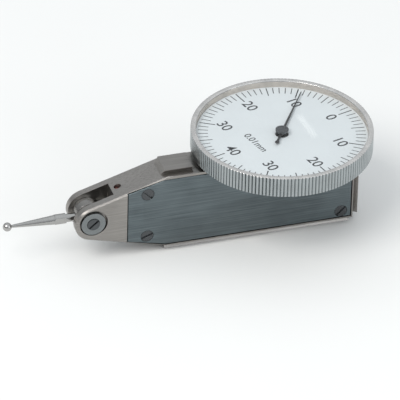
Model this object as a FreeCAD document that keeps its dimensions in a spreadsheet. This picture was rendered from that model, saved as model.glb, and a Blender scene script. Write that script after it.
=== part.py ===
"""Lever-type dial test indicator: a long flat body, a ball-ended stylus in its forked nose and a dial on top.

The origin is where the dial axis meets the resting face of the base dovetail. +X runs to the rear end,
the side cover faces -Y and the dial faces +Z. All lengths are in millimetres.
"""
import FreeCAD, Part
import math
import os

import Sketcher
from FreeCAD import Placement, Rotation, Vector

SIZES = (
    # gear train, from the sector on the lever to the pinion on the pointer arbor
    ("tooth_module", 0.15, "module of the sector and of its pinion"),
    ("sector_teeth", 567, "teeth that a whole turn of the sector would have"),
    ("sector_cut_teeth", 9, "teeth that the sector really has"),
    ("pinion_teeth", 16, "teeth of the crown arbor's pinion"),
    ("crown_module", 0.18, "module of the crown wheel and of the centre pinion"),
    ("crown_teeth", 65, "teeth of the crown wheel"),
    ("centre_teeth", 16, "teeth of the centre pinion"),
    ("tooth_play", 0.05, "backlash at the pitch line"),
    # body
    ("body_rear", 15.7, "dial axis to the rear face"),
    ("top_kink", 26.94, "dial axis to where the top starts to slope"),
    ("bottom_kink", 27.3, "dial axis to where the bottom starts to slope"),
    ("nose_radius", 4.1, "rounded end of the nose, about the pivot"),
    ("nose_bevel", 0.35, "broken edges of the nose cheeks"),
    ("slot_width", 4.42, "gap between the two cheeks"),
    ("slot_depth", 4.925, "pivot to the end of the slot"),
    ("tunnel_width", 3.4, "passage of the lever, across"),
    ("tunnel_height", 3.4, "passage of the lever, up and down"),
    ("back_wall", 1.2, "wall behind the movement"),
    ("top_wall", 2.45, "wall over the movement"),
    ("floor_wall", 1.8, "wall under the movement"),
    ("wheel_floor_gap", 0.4, "crown wheel to the wall under it"),
    ("wheel_top_gap", 0.8, "crown wheel to the wall over it"),
    ("end_wall", 2.3, "wall at the rear end"),
    ("chamber_setback", 9.725, "pivot to the front of the movement chamber"),
    ("chamber_front_rise", 4.9, "chamber's front top corner over the pivot"),
    ("chamber_front_drop", 4.4, "chamber's front bottom corner under the pivot"),
    # dovetails
    ("dovetail_height", 1.5, "height of the base and rear dovetails"),
    ("dovetail_half_width", 2.92, "half of a dovetail's outer width"),
    ("dovetail_undercut", 30.0, "lean of the flanks, degrees from upright"),
    ("base_dovetail_front_gap", 0.04, "base dovetail's front end to where the bottom starts to slope"),
    ("base_dovetail_rear_gap", 0.52, "base dovetail's rear end to the rear face"),
    ("top_dovetail_height", 0.95, "height of the short dovetail before the dial"),
    ("top_dovetail_front", 27.45, "dial axis to its front edge, at the top"),
    ("top_dovetail_rear", 21.06, "dial axis to its rear end"),
    ("top_dovetail_lean", 0.8, "how far its front face leans out at the foot"),
    ("rear_dovetail_gap", 0.2, "base dovetail's top to the rear dovetail's foot"),
    ("rear_dovetail_drop", 2.05, "body top to the rear dovetail's upper end"),
    # side cover
    ("cover_thickness", 0.9, "cover plate"),
    ("cover_gap", 0.15, "gap between the cover and its recess"),
    ("cover_setback", 7.725, "pivot to the cover's front edge"),
    ("cover_front_rise", 6.45, "front top corner over the pivot"),
    ("cover_front_drop", 5.95, "front bottom corner under the pivot"),
    ("cover_kink_gap", 0.96, "body's upper bend to the bend in the cover's top edge"),
    ("cover_top_rim", 0.79, "body rim over the cover"),
    ("cover_bottom_rim", 0.5, "body rim under the cover"),
    ("cover_rear_rim", 0.43, "body rim behind the cover"),
    ("cover_bevel", 0.15, "broken outer edges of the cover"),
    # fasteners
    ("screw_head_radius", 1.4, "cover screw head"),
    ("screw_head_height", 0.6, "cover screw head"),
    ("screw_radius", 0.8, "cover screw shank"),
    ("screw_length", 4.0, "cover screw under its head"),
    ("thread_runout", 0.3, "threaded hole past the end of its screw"),
    ("screw_slot_width", 0.4, "driver slot"),
    ("screw_slot_depth", 0.3, "driver slot"),
    ("screw_play", 0.06, "radial gap round heads and shanks"),
    ("boss_radius", 1.6, "bosses that take the cover screws"),
    ("front_screw_setback", 4.42, "cover's front edge to the two front screws"),
    ("front_screw_rise", 5.74, "upper front screw over the pivot"),
    ("front_screw_drop", 5.1, "lower front screw under the pivot"),
    ("rear_screw_setback", 2.33, "cover's rear edge to the two rear screws"),
    ("rear_screw_inset", 1.6, "rear screws from the cover's top and bottom edges"),
    ("small_screw_radius", 0.5, "movement screws, shank"),
    ("small_head_radius", 0.85, "movement screws, head"),
    ("small_head_height", 0.45, "movement screws, head"),
    ("small_screw_length", 1.6, "movement screws under the head"),
    # pivot
    ("axle_radius", 0.8, "pivot axle"),
    ("axle_play", 0.03, "radial running clearance on the axle"),
    ("bearing_radius", 2.75, "bearing disc in each cheek"),
    ("bearing_thickness", 1.05, "bearing disc"),
    ("bearing_pocket_radius", 3.15, "pocket in each cheek, set above the disc"),
    ("bearing_pocket_depth", 1.2, "pocket in each cheek"),
    ("bearing_land", 0.5, "length of the axle that runs in each disc"),
    ("cheek_hole_radius", 1.2, "clear hole in each cheek"),
    ("pivot_screw_radius", 1.4, "slotted screw that closes each bearing"),
    ("end_play", 0.1, "axle end to its screw"),
    # lever
    ("yoke_radius", 3.1, "yoke discs on the axle"),
    ("yoke_half_width", 2.1, "half of the yoke's width"),
    ("yoke_web", 0.7, "wall that joins the two yoke discs"),
    ("lever_half_width", 0.6, "half of the lever's thickness"),
    ("lever_half_height", 0.9, "half of the lever's height at the yoke"),
    ("lever_tip_half_height", 0.65, "half of the lever's height at the sector"),
    ("lever_travel", 1.4, "swing either way, degrees"),
    ("sector_thickness", 0.8, "sector plate"),
    ("sector_depth", 5.0, "radial depth of the sector plate"),
    ("sector_rim", 1.4, "radial depth of the toothed rim"),
    ("sector_tail_half_height", 0.7, "half height of the plate behind its rim"),
    ("rivet_radius", 0.35, "sector rivets"),
    ("rivet_spacing", 1.5, "between the two rivets"),
    ("stop_radius", 0.6, "pins that limit the lever"),
    ("stop_reach", 20.0, "dial axis to the stop pins"),
    ("stop_play", 0.03, "lever to pin at the end of its swing"),
    # stylus
    ("holder_radius", 3.4, "stylus holder on the axle"),
    ("holder_half_width", 1.0, "half of the holder's thickness"),
    ("holder_flat", 3.1, "pivot to the holder's front flat"),
    ("washer_thickness", 0.15, "friction washer"),
    ("washer_radius", 2.3, "friction washer"),
    ("stylus_reach", 18.33, "pivot to the centre of the contact ball"),
    ("ball_radius", 1.0, "contact ball"),
    ("stylus_tip_radius", 0.33, "shank at the ball"),
    ("stylus_root_radius", 1.05, "shank at the collar"),
    ("collar_radius", 1.15, "collar with two spanner flats"),
    ("collar_start", 5.25, "pivot to the collar"),
    ("collar_length", 2.47, "collar"),
    ("collar_flat", 0.95, "half distance across the flats"),
    ("neck_radius", 0.92, "neck between the collar and the holder"),
    ("thread_radius", 0.65, "threaded end of the stylus"),
    ("thread_length", 1.7, "threaded end of the stylus"),
    # crown arbor
    ("arbor_radius", 0.6, "crown arbor"),
    ("arbor_pivot_radius", 0.3, "its two ends"),
    ("pivot_play", 0.04, "radial running clearance of small pivots"),
    ("bush_radius", 0.9, "bushes of the crown arbor"),
    ("pinion_face", 1.3, "face width of the pinion"),
    ("crown_disc", 0.6, "thickness of the crown wheel's disc"),
    ("crown_face", 0.9, "radial length of its teeth"),
    ("crown_hub_radius", 1.5, "hub of the crown wheel"),
    ("crown_hub_length", 0.8, "hub of the crown wheel"),
    ("train_bridge_thickness", 0.6, "plate that carries the arbor's front bush"),
    ("train_bridge_gap", 0.05, "plate to the cover"),
    ("wheel_bridge_gap", 0.335, "crown wheel to the plate"),
    ("train_post_reach", 9.0, "dial axis to the two posts of the plate"),
    ("train_post_spread", 3.3, "posts above and below the arbor"),
    ("train_post_radius", 1.3, "posts of the plate"),
    # pointer arbor
    ("pointer_arbor_radius", 0.5, "pointer arbor"),
    ("centre_face", 1.5, "face width of the centre pinion"),
    ("foot_bearing_gap", 0.7, "lower bearing to the centre pinion"),
    ("foot_bearing_thickness", 0.75, "tongue that carries the lower bearing"),
    ("foot_bearing_half_width", 1.2, "tongue"),
    ("foot_plate_half_width", 3.4, "plate on the back wall"),
    ("foot_plate_height", 3.2, "plate on the back wall"),
    ("foot_plate_thickness", 0.8, "plate on the back wall"),
    ("foot_screw_spread", 2.45, "plate screws either side of the arbor"),
    ("centre_bush_radius", 1.5, "bush in the top wall"),
    ("centre_bush_flange", 2.4, "its flange"),
    ("centre_bush_flange_height", 0.45, "its flange"),
    ("collet_radius", 1.2, "hairspring collet"),
    ("collet_height", 0.7, "hairspring collet"),
    ("spring_gap", 0.1, "collet to the inner turn"),
    ("spring_pitch", 0.95, "between turns of the hairspring"),
    ("spring_turns", 4, "turns of the hairspring"),
    ("spring_thickness", 0.1, "hairspring strip"),
    ("spring_height", 0.5, "hairspring strip"),
    ("spring_lift", 0.95, "dial case floor to the hairspring"),
    ("stud_radius", 0.4, "stud that holds the outer end"),
    ("pointer_angle", 57.6, "pointer at rest, degrees from +X"),
    ("pointer_length", 16.75, "arbor to the pointer's tip"),
    ("pointer_tail", 4.2, "arbor to the middle of the tail's drop"),
    ("pointer_drop_radius", 0.48, "drop at the end of the tail"),
    ("pointer_root_half_width", 0.3, "needle at the boss"),
    ("pointer_tip_half_width", 0.08, "needle at its tip"),
    ("pointer_boss_radius", 1.05, "round middle of the pointer"),
    ("pointer_thickness", 0.15, "pointer"),
    ("pointer_lift", 0.45, "dial face to the pointer"),
    ("cap_radius", 1.45, "cap on the pointer's boss"),
    ("cap_height", 0.4, "cap"),
    ("cap_neck_radius", 0.85, "neck under the cap"),
    ("cap_neck_height", 0.25, "neck under the cap"),
    # dial and bezel
    ("bezel_radius", 20.0, "over the knurl"),
    ("bezel_height", 4.63, "bezel"),
    ("bezel_gap", 0.86, "body top to the bezel's lower face"),
    ("bezel_wall", 1.2, "width of the rim round the crystal"),
    ("bezel_play", 0.06, "radial running clearance on the dial case"),
    ("knurl_count", 160, "grooves round the bezel"),
    ("knurl_depth", 0.25, "groove depth"),
    ("knurl_land", 0.45, "share of the pitch that stays as a land"),
    ("dial_depth", 1.54, "top of the bezel to the dial face"),
    ("dial_thickness", 0.4, "dial plate"),
    ("dial_hole_radius", 1.5, "hole in the dial plate"),
    ("dial_ledge", 0.6, "width of the ledge that carries the dial"),
    ("crystal_thickness", 0.6, "crystal"),
    ("crystal_rise", 0.6, "crown of the crystal over its rim"),
    ("crystal_bite", 0.2, "how far the crystal snaps into the bezel"),
    ("crystal_drop", 0.1, "top of the bezel to the crystal's rim"),
    ("gasket_height", 0.16, "gasket under the crystal's rim"),
    ("fit_gap", 0.02, "gap of pieces that are pressed or glued together"),
    ("case_foot_step", 1.2, "foot of the dial case, in from its side"),
    ("case_floor", 0.9, "floor of the dial case"),
    ("case_wall", 0.95, "wall of the dial case"),
    ("case_height", 3.05, "dial case over the body"),
    ("case_screw_reach", 9.5, "dial axis to the dial case's screws"),
    ("ring_groove_height", 0.6, "groove for the snap ring"),
    ("ring_groove_depth", 0.45, "groove for the snap ring"),
    ("ring_groove_lift", 1.65, "body top to the groove"),
    ("ring_wire_radius", 0.25, "snap ring"),
    # nose screw
    ("grub_radius", 0.72, "grub screw in the nose"),
    ("grub_length", 1.6, "grub screw"),
    ("grub_reach", 6.4, "pivot to the grub screw"),
    ("grub_sink", 0.8, "grub screw below the surface"),
)

doc = FreeCAD.newDocument("dial_test_indicator")
sheet = doc.addObject("Spreadsheet::Sheet", "Sizes")


class Term:
    """A length or an angle: its value now, and the expression over the sheet that it comes from."""

    def __init__(self, value, text):
        self.value = value
        self.text = text

    def joined(self, other, sign, value):
        return Term(value, "(%s %s %s)" % (self.text, sign, other.text))

    def __add__(self, other):
        other = term(other)
        return self.joined(other, "+", self.value + other.value)

    def __sub__(self, other):
        other = term(other)
        return self.joined(other, "-", self.value - other.value)

    def __mul__(self, other):
        other = term(other)
        return self.joined(other, "*", self.value * other.value)

    def __truediv__(self, other):
        other = term(other)
        return self.joined(other, "/", self.value / other.value)

    def __radd__(self, other):
        return term(other) + self

    def __rsub__(self, other):
        return term(other) - self

    def __rmul__(self, other):
        return term(other) * self

    def __neg__(self):
        return Term(-self.value, "(0 - %s)" % self.text)


def term(value):
    """A plain number as a Term."""
    return value if isinstance(value, Term) else Term(float(value), "%.9g" % value)


def root(a):
    return Term(math.sqrt(a.value), "sqrt(%s)" % a.text)


def sine(angle):
    return Term(math.sin(math.radians(angle.value)), "sin(%s)" % angle.text)


def cosine(angle):
    return Term(math.cos(math.radians(angle.value)), "cos(%s)" % angle.text)


def tangent(angle):
    return Term(math.tan(math.radians(angle.value)), "tan(%s)" % angle.text)


def angle_of(up, along):
    """Angle of a slope, in degrees."""
    value = math.degrees(math.atan2(up.value, along.value))
    return Term(value, "(atan2(%s; %s) / 1 deg)" % (up.text, along.text))


def angle_with_sine(a):
    return Term(math.degrees(math.asin(a.value)), "(asin(%s) / 1 deg)" % a.text)


def fill_sheet():
    """Writes the driving dimensions and gives each cell its alias."""
    for row, (alias, value, meaning) in enumerate(SIZES, start=1):
        sheet.set("A%d" % row, alias)
        sheet.set("B%d" % row, str(value))
        sheet.setAlias("B%d" % row, alias)
        sheet.set("C%d" % row, meaning)
    doc.recompute()


fill_sheet()


class Sizes:
    """Reads a driving dimension of the sheet as a Term."""

    def __getattr__(self, alias):
        return Term(float(sheet.get(alias)), "Sizes." + alias)


S = Sizes()

# Places that several pieces share
PIVOT_X = -(S.sector_teeth + S.pinion_teeth) * S.tooth_module / 2
SECTOR_RADIUS = S.sector_teeth * S.tooth_module / 2
PINION_RADIUS = S.pinion_teeth * S.tooth_module / 2
CROWN_RADIUS = S.crown_teeth * S.crown_module / 2
CENTRE_RADIUS = S.centre_teeth * S.crown_module / 2
WHEEL_RADIUS = CROWN_RADIUS + S.crown_face / 2
WHEEL_FRONT = CENTRE_RADIUS + S.crown_module * 1.25
BRIDGE_INNER = WHEEL_FRONT + S.crown_disc + S.wheel_bridge_gap
BRIDGE_OUTER = BRIDGE_INNER + S.train_bridge_thickness
COVER_INNER = BRIDGE_OUTER + S.train_bridge_gap
HALF = COVER_INNER + S.cover_thickness
BODY_WIDTH = HALF * 2
CHAMBER_FLOOR = S.dovetail_height + S.floor_wall
PIVOT_Z = CHAMBER_FLOOR + S.wheel_floor_gap + WHEEL_RADIUS
CHAMBER_TOP = PIVOT_Z + WHEEL_RADIUS + S.wheel_top_gap
BODY_TOP = CHAMBER_TOP + S.top_wall
CHAMBER_FRONT = PIVOT_X + S.chamber_setback
COVER_FRONT = PIVOT_X + S.cover_setback
COVER_KINK = -(S.top_kink + S.cover_kink_gap)
SLOT_END = PIVOT_X + S.slot_depth
BACK_INNER = HALF - S.back_wall
COVER_TOP = BODY_TOP - S.cover_top_rim
COVER_BOTTOM = S.dovetail_height + S.cover_bottom_rim
COVER_REAR = S.body_rear - S.cover_rear_rim
BEARING_FACE = HALF - S.bearing_pocket_depth
AXLE_END = BEARING_FACE + S.bearing_land - S.end_play / 2
BEZEL_BOTTOM = BODY_TOP + S.bezel_gap
BEZEL_TOP = BEZEL_BOTTOM + S.bezel_height
DIAL_FACE = BEZEL_TOP - S.dial_depth
CASE_FLOOR = BODY_TOP + S.case_floor
OPENING = S.bezel_radius - S.bezel_wall
CASE_RADIUS = OPENING
BEZEL_BORE = CASE_RADIUS + S.bezel_play
POINTER_BOTTOM = DIAL_FACE + S.pointer_lift
POINTER_TOP = POINTER_BOTTOM + S.pointer_thickness
FOOT_TOP = PIVOT_Z + CROWN_RADIUS - S.centre_face / 2 - S.foot_bearing_gap
FOOT_BOTTOM = FOOT_TOP - S.foot_bearing_thickness
NAMES = []


def plane_of(body, role):
    return [o for o in body.Origin.OriginFeatures if o.Role == role][0]


def new_body(name):
    """A PartDesign body whose Label names its file."""
    body = doc.addObject("PartDesign::Body", name)
    body.Label = name
    NAMES.append(name)
    return body


def new_sketch(body, role, name, offset=None):
    """A sketch on one of the body's own origin planes, moved along that plane's normal."""
    sketch = body.newObject("Sketcher::SketchObject", body.Name + "_" + name)
    sketch.AttachmentSupport = (plane_of(body, role), [""])
    sketch.MapMode = "FlatFace"
    if offset is not None:
        sketch.setExpression("AttachmentOffset.Base.z", offset.text)
    return sketch


def bind(sketch, kind, *where, size):
    """A dimension of the sketch, bound to the sheet."""
    index = sketch.addConstraint(Sketcher.Constraint(kind, *where, size.value))
    sketch.setExpression("Constraints[%d]" % index, size.text)


def fix_point(sketch, edge, end, x, y):
    bind(sketch, "DistanceX", -1, 1, edge, end, size=x)
    bind(sketch, "DistanceY", -1, 1, edge, end, size=y)


def outline(sketch, points, arcs=None):
    """A closed outline. arcs maps a side's number to (radius, centre x, centre y, is it convex)."""
    arcs = arcs or {}
    points = [(term(x), term(y)) for x, y in points]
    first = sketch.GeometryCount
    count = len(points)
    ends = []
    for i, (x, y) in enumerate(points):
        start = Vector(x.value, y.value, 0)
        far_x, far_y = points[(i + 1) % count]
        finish = Vector(far_x.value, far_y.value, 0)
        if i in arcs:
            radius, cx, cy, convex = arcs[i]
            centre = Vector(term(cx).value, term(cy).value, 0)
            turn = [math.atan2(p.y - centre.y, p.x - centre.x) for p in (start, finish)]
            circle = Part.Circle(centre, Vector(0, 0, 1), radius.value)
            if not convex:
                turn.reverse()
            sketch.addGeometry(Part.ArcOfCircle(circle, turn[0], turn[1]), False)
            ends.append((1, 2) if convex else (2, 1))
        else:
            sketch.addGeometry(Part.LineSegment(start, finish), False)
            ends.append((1, 2))
    for i in range(count):
        after = (i + 1) % count
        joint = Sketcher.Constraint("Coincident", first + i, ends[i][1], first + after, ends[after][0])
        sketch.addConstraint(joint)
    for i, (x, y) in enumerate(points):
        fix_point(sketch, first + i, ends[i][0], x, y)
    for i, arc in arcs.items():
        bind(sketch, "Radius", first + i, size=arc[0])


def disc(sketch, x, y, radius):
    """A circle of the sketch."""
    x, y = term(x), term(y)
    index = sketch.GeometryCount
    circle = Part.Circle(Vector(x.value, y.value, 0), Vector(0, 0, 1), radius.value)
    sketch.addGeometry(circle, False)
    fix_point(sketch, index, 3, x, y)
    bind(sketch, "Radius", index, size=radius)


def box_outline(sketch, x1, x2, y1, y2):
    """An upright rectangle of the sketch."""
    outline(sketch, [(x1, y1), (x2, y1), (x2, y2), (x1, y2)])


def extrude(body, kind, sketch, length=None, both=False, reverse=False):
    """A Pad or a Pocket of a sketch. A Pad runs along the sketch's normal, a Pocket against it."""
    feature = body.newObject("PartDesign::" + kind, sketch.Name + "_" + kind.lower())
    feature.Profile = sketch
    if length is None:
        feature.Type = "ThroughAll"
    else:
        feature.setExpression("Length", length.text)
    if both:
        feature.SideType = "Symmetric"
    feature.Reversed = reverse
    sketch.Visibility = False
    return feature


def pad(body, sketch, length, **how):
    return extrude(body, "Pad", sketch, length, **how)


def pocket(body, sketch, length=None, **how):
    return extrude(body, "Pocket", sketch, length, **how)


def revolve(body, sketch, axis="V_Axis"):
    feature = body.newObject("PartDesign::Revolution", sketch.Name + "_turned")
    feature.Profile = sketch
    feature.ReferenceAxis = (sketch, [axis])
    feature.Angle = 360
    return feature


def bevel(body, size, wanted):
    """Breaks the edges of the body's present shape that wanted() picks."""
    doc.recompute()
    base = body.Tip
    edges = ["Edge%d" % (i + 1) for i, e in enumerate(base.Shape.Edges) if wanted(e)]
    feature = body.newObject("PartDesign::Chamfer", base.Name + "_bevel")
    feature.Base = (base, edges)
    feature.setExpression("Size", size.text)
    return feature


def place(thing, x=None, y=None, z=None, rotation=None):
    """Puts a finished piece in its place, with its position bound to the sheet."""
    thing.Placement = Placement(Vector(), rotation or Rotation())
    for axis, size in (("x", x), ("y", y), ("z", z)):
        if size is not None:
            thing.setExpression("Placement.Base." + axis, term(size).text)


def turned_piece(name, points, arcs=None, **where):
    """A round piece, turned from a half section (radius, height) about its own Z axis."""
    body = new_body(name)
    sketch = new_sketch(body, "XZ_Plane", "section")
    outline(sketch, points, arcs)
    revolve(body, sketch)
    place(body, **where)
    return body


TO_FRONT = Rotation(Vector(1, 0, 0), 90)
TO_BACK = Rotation(Vector(1, 0, 0), -90)


def screw(name, head, head_height, shank, length, slot_turn, turn, **where):
    """A slotted cheese-head screw: the top of its head is its own XY plane and it points down."""
    bottom = -(head_height + length)
    points = [(0, bottom), (shank, bottom), (shank, -head_height), (head, -head_height), (head, 0), (0, 0)]
    body = turned_piece(name, points)
    slot = new_sketch(body, "XY_Plane", "slot")
    half = S.screw_slot_width / 2
    box_outline(slot, -half, half, -head - 1, head + 1)
    pocket(body, slot, S.screw_slot_depth)
    place(body, rotation=turn.multiply(Rotation(Vector(0, 0, 1), slot_turn)), **where)
    return body


def solid_piece(name, shape, **where):
    """A piece whose shape is worked out here from the sheet's numbers."""
    piece = doc.addObject("Part::Feature", name)
    piece.Label = name
    piece.Shape = shape
    place(piece, **where)
    NAMES.append(name)
    return piece


# Body


def nose_points():
    """Where the sloping top and bottom run into the round end of the nose."""
    points = []
    for corner_x, corner_z, side in ((-S.top_kink, BODY_TOP, 1), (-S.bottom_kink, S.dovetail_height, -1)):
        along = corner_x - PIVOT_X
        up = (corner_z - PIVOT_Z) * side
        slope = angle_of(up, along) - angle_with_sine(S.nose_radius / root(along * along + up * up))
        x = PIVOT_X - S.nose_radius * sine(slope)
        z = PIVOT_Z + S.nose_radius * cosine(slope) * side
        points.append((x, z))
    return points


def dovetail_flank(height):
    """How much narrower a dovetail is at its foot, on each side."""
    return height * tangent(S.dovetail_undercut)


def cover_corners(gap):
    """The cover's outline, or with a gap the recess that it lies in."""
    return [
        (COVER_REAR + gap, COVER_BOTTOM - gap),
        (COVER_REAR + gap, COVER_TOP + gap),
        (COVER_KINK - gap / 2, COVER_TOP + gap),
        (COVER_FRONT - gap, PIVOT_Z + S.cover_front_rise + gap),
        (COVER_FRONT - gap, PIVOT_Z - S.cover_front_drop - gap / 2),
        (-S.bottom_kink, COVER_BOTTOM - gap),
    ]


def cover_screw_places():
    high = COVER_TOP - S.rear_screw_inset
    low = COVER_BOTTOM + S.rear_screw_inset
    front = COVER_FRONT + S.front_screw_setback
    rear = COVER_REAR - S.rear_screw_setback
    return [
        (front, PIVOT_Z + S.front_screw_rise),
        (front, PIVOT_Z - S.front_screw_drop),
        (rear, low),
        (rear, high),
    ]


def add_dovetail(body, role, name, foot, outer, start, length, height, sunk=0.6):
    """A dovetail rib: its section is drawn across it, from inside the body to its outer face."""
    half = S.dovetail_half_width
    narrow = half - dovetail_flank(height)
    inside = foot - (outer - foot) / height * sunk
    sketch = new_sketch(body, role, name, start)
    section = [(-half, outer), (-narrow, foot), (-narrow, inside), (narrow, inside), (narrow, foot), (half, outer)]
    if role == "XY_Plane":
        section = [(y, x) for x, y in section]
    outline(sketch, section)
    pad(body, sketch, length)


def add_forms(body):
    """The outer form: profile, dovetails and slot."""
    profile = new_sketch(body, "XZ_Plane", "profile")
    top, bottom = nose_points()
    corners = [
        (S.body_rear, S.dovetail_height),
        (S.body_rear, BODY_TOP),
        (-S.top_kink, BODY_TOP),
        top,
        bottom,
        (-S.bottom_kink, S.dovetail_height),
    ]
    outline(profile, corners, {3: (S.nose_radius, PIVOT_X, PIVOT_Z, True)})
    pad(body, profile, BODY_WIDTH, both=True)
    slot = new_sketch(body, "XY_Plane", "slot")
    box_outline(slot, PIVOT_X - S.nose_radius - 1, SLOT_END, -S.slot_width / 2, S.slot_width / 2)
    pocket(body, slot, BODY_TOP * 2 + 2, both=True)
    bevel(body, S.nose_bevel, is_cheek_edge)
    base_front = S.base_dovetail_front_gap - S.bottom_kink
    base_rear = S.body_rear - S.base_dovetail_rear_gap
    add_dovetail(body, "YZ_Plane", "base_rib", S.dovetail_height, term(0), base_front,
                 base_rear - base_front, S.dovetail_height)
    top_face = BODY_TOP + S.top_dovetail_height
    rib_front = -(S.top_dovetail_front + S.top_dovetail_lean)
    add_dovetail(body, "YZ_Plane", "top_rib", BODY_TOP, top_face, rib_front,
                 -S.top_dovetail_rear - rib_front, S.top_dovetail_height, sunk=1.0)
    lean = new_sketch(body, "XZ_Plane", "rib_lean")
    outline(lean, [(rib_front - 1, BODY_TOP - 0.35), (rib_front, BODY_TOP - 0.35),
                   (-S.top_dovetail_front, top_face), (-S.top_dovetail_front, top_face + 1),
                   (rib_front - 1, top_face + 1)])
    pocket(body, lean, BODY_WIDTH, both=True)
    rear_foot = S.dovetail_height + S.rear_dovetail_gap
    add_dovetail(body, "XY_Plane", "rear_rib", S.body_rear, S.body_rear + S.dovetail_height, rear_foot,
                 BODY_TOP - S.rear_dovetail_drop - rear_foot, S.dovetail_height)


def is_cheek_edge(edge):
    """Outer edges of the two cheeks, before and round the nose."""
    box = edge.BoundBox
    flat = abs(box.YMax - box.YMin) < 1e-6
    outside = abs(abs(box.YMax) - HALF.value) < 1e-6
    return flat and outside and box.XMin < -S.bottom_kink.value and box.XMax < -S.top_kink.value + 1


def add_chamber(body):
    """The recess of the cover, the chamber of the movement with its bosses, and the lever's tunnel."""
    recess = new_sketch(body, "XZ_Plane", "recess", HALF)
    outline(recess, cover_corners(S.cover_gap))
    pocket(body, recess, S.cover_thickness)
    chamber = new_sketch(body, "XZ_Plane", "chamber", COVER_INNER)
    rear = S.body_rear - S.end_wall
    outline(chamber, [(rear, CHAMBER_FLOOR), (rear, CHAMBER_TOP), (COVER_KINK, CHAMBER_TOP),
                      (CHAMBER_FRONT, PIVOT_Z + S.chamber_front_rise),
                      (CHAMBER_FRONT, PIVOT_Z - S.chamber_front_drop), (-S.bottom_kink, CHAMBER_FLOOR)])
    pocket(body, chamber, COVER_INNER + BACK_INNER)
    bosses = new_sketch(body, "XZ_Plane", "bosses", -BACK_INNER - 0.4)
    for x, z in cover_screw_places():
        disc(bosses, x, z, S.boss_radius)
    pad(body, bosses, COVER_INNER + BACK_INNER + 0.4)
    posts = new_sketch(body, "XZ_Plane", "posts", -BACK_INNER - 0.4)
    for side in (-1, 1):
        disc(posts, S.train_post_reach, PIVOT_Z + S.train_post_spread * side, S.train_post_radius)
    pad(body, posts, BRIDGE_INNER + BACK_INNER + 0.4)
    tunnel = new_sketch(body, "YZ_Plane", "tunnel", SLOT_END - 0.5)
    half_width = S.tunnel_width / 2
    half_height = S.tunnel_height / 2
    box_outline(tunnel, -half_width, half_width, PIVOT_Z - half_height, PIVOT_Z + half_height)
    pocket(body, tunnel, CHAMBER_FRONT - SLOT_END + 1, reverse=True)


def add_holes(body):
    """Screw holes, bearing pockets, bush holes and pin holes."""
    threads = new_sketch(body, "XZ_Plane", "cover_threads", COVER_INNER)
    for x, z in cover_screw_places():
        disc(threads, x, z, S.screw_radius + S.fit_gap)
    pocket(body, threads, S.screw_length + S.thread_runout)
    post_threads = new_sketch(body, "XZ_Plane", "post_threads", BRIDGE_INNER)
    for side in (-1, 1):
        z = PIVOT_Z + S.train_post_spread * side
        disc(post_threads, S.train_post_reach, z, S.small_screw_radius + S.fit_gap)
    pocket(body, post_threads, S.small_screw_length)
    for name, side in (("front", 1), ("back", -1)):
        bearing = new_sketch(body, "XZ_Plane", name + "_bearing", HALF * side)
        lift = S.bearing_pocket_radius - S.bearing_radius - S.fit_gap
        disc(bearing, PIVOT_X, PIVOT_Z + lift, S.bearing_pocket_radius)
        pocket(body, bearing, S.bearing_pocket_depth, reverse=side < 0)
    axle = new_sketch(body, "XZ_Plane", "axle_hole")
    disc(axle, PIVOT_X, PIVOT_Z, S.cheek_hole_radius)
    pocket(body, axle, BODY_WIDTH, both=True)
    wall_holes = new_sketch(body, "XZ_Plane", "wall_holes", -BACK_INNER)
    disc(wall_holes, 0, PIVOT_Z, S.bush_radius + S.fit_gap)
    pocket(body, wall_holes, S.back_wall * 0.75)
    foot_holes = new_sketch(body, "XZ_Plane", "foot_holes", -BACK_INNER)
    for side in (-1, 1):
        disc(foot_holes, S.foot_screw_spread * side, foot_screw_height(), S.small_screw_radius + S.fit_gap)
    pocket(body, foot_holes, S.back_wall * 0.75)
    pins = new_sketch(body, "XZ_Plane", "pin_holes", -BACK_INNER)
    for side in (-1, 1):
        disc(pins, -S.stop_reach, PIVOT_Z + stop_offset() * side, S.stop_radius + S.fit_gap)
    pocket(body, pins, S.back_wall / 2)
    top_holes = new_sketch(body, "XY_Plane", "top_holes", BODY_TOP)
    disc(top_holes, 0, 0, S.centre_bush_radius + S.fit_gap)
    for side in (-1, 1):
        disc(top_holes, S.case_screw_reach * side, 0, S.small_screw_radius + S.fit_gap)
    pocket(body, top_holes, S.top_wall + 0.5)
    grub = new_sketch(body, "XY_Plane", "grub_hole", PIVOT_Z + S.tunnel_height / 2 - 0.5)
    disc(grub, PIVOT_X + S.grub_reach, 0, S.grub_radius + S.screw_play)
    pocket(body, grub, BODY_TOP, reverse=True)


def foot_screw_height():
    """Height of the screws that hold the pointer arbor's lower bearing."""
    return FOOT_TOP + (S.foot_plate_height - S.foot_bearing_thickness) / 2


def lever_half_at(reach):
    """Half of the lever's height at a distance from its pivot."""
    start = S.slot_depth
    share = (reach - start) / (SECTOR_RADIUS - start)
    return S.lever_half_height + (S.lever_tip_half_height - S.lever_half_height) * share


def stop_offset():
    """Height of the stop pins over and under the lever's middle line."""
    reach = -S.stop_reach - PIVOT_X
    swing = reach * tangent(S.lever_travel)
    return lever_half_at(reach) + swing + S.stop_radius + S.stop_play


def make_body_housing():
    body = new_body("body_housing")
    add_forms(body)
    add_chamber(body)
    add_holes(body)


def make_side_cover():
    body = new_body("side_cover")
    plate = new_sketch(body, "XZ_Plane", "plate", COVER_INNER)
    outline(plate, cover_corners(term(0)))
    pad(body, plate, S.cover_thickness)
    bevel(body, S.cover_bevel, lambda e: abs(e.BoundBox.YMax + HALF.value) < 1e-6)
    heads = new_sketch(body, "XZ_Plane", "heads", HALF)
    shanks = new_sketch(body, "XZ_Plane", "shanks")
    for x, z in cover_screw_places():
        disc(heads, x, z, S.screw_head_radius + S.screw_play)
        disc(shanks, x, z, S.screw_radius + S.screw_play)
    pocket(body, heads, S.screw_head_height)
    pocket(body, shanks, BODY_WIDTH, both=True)


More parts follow.
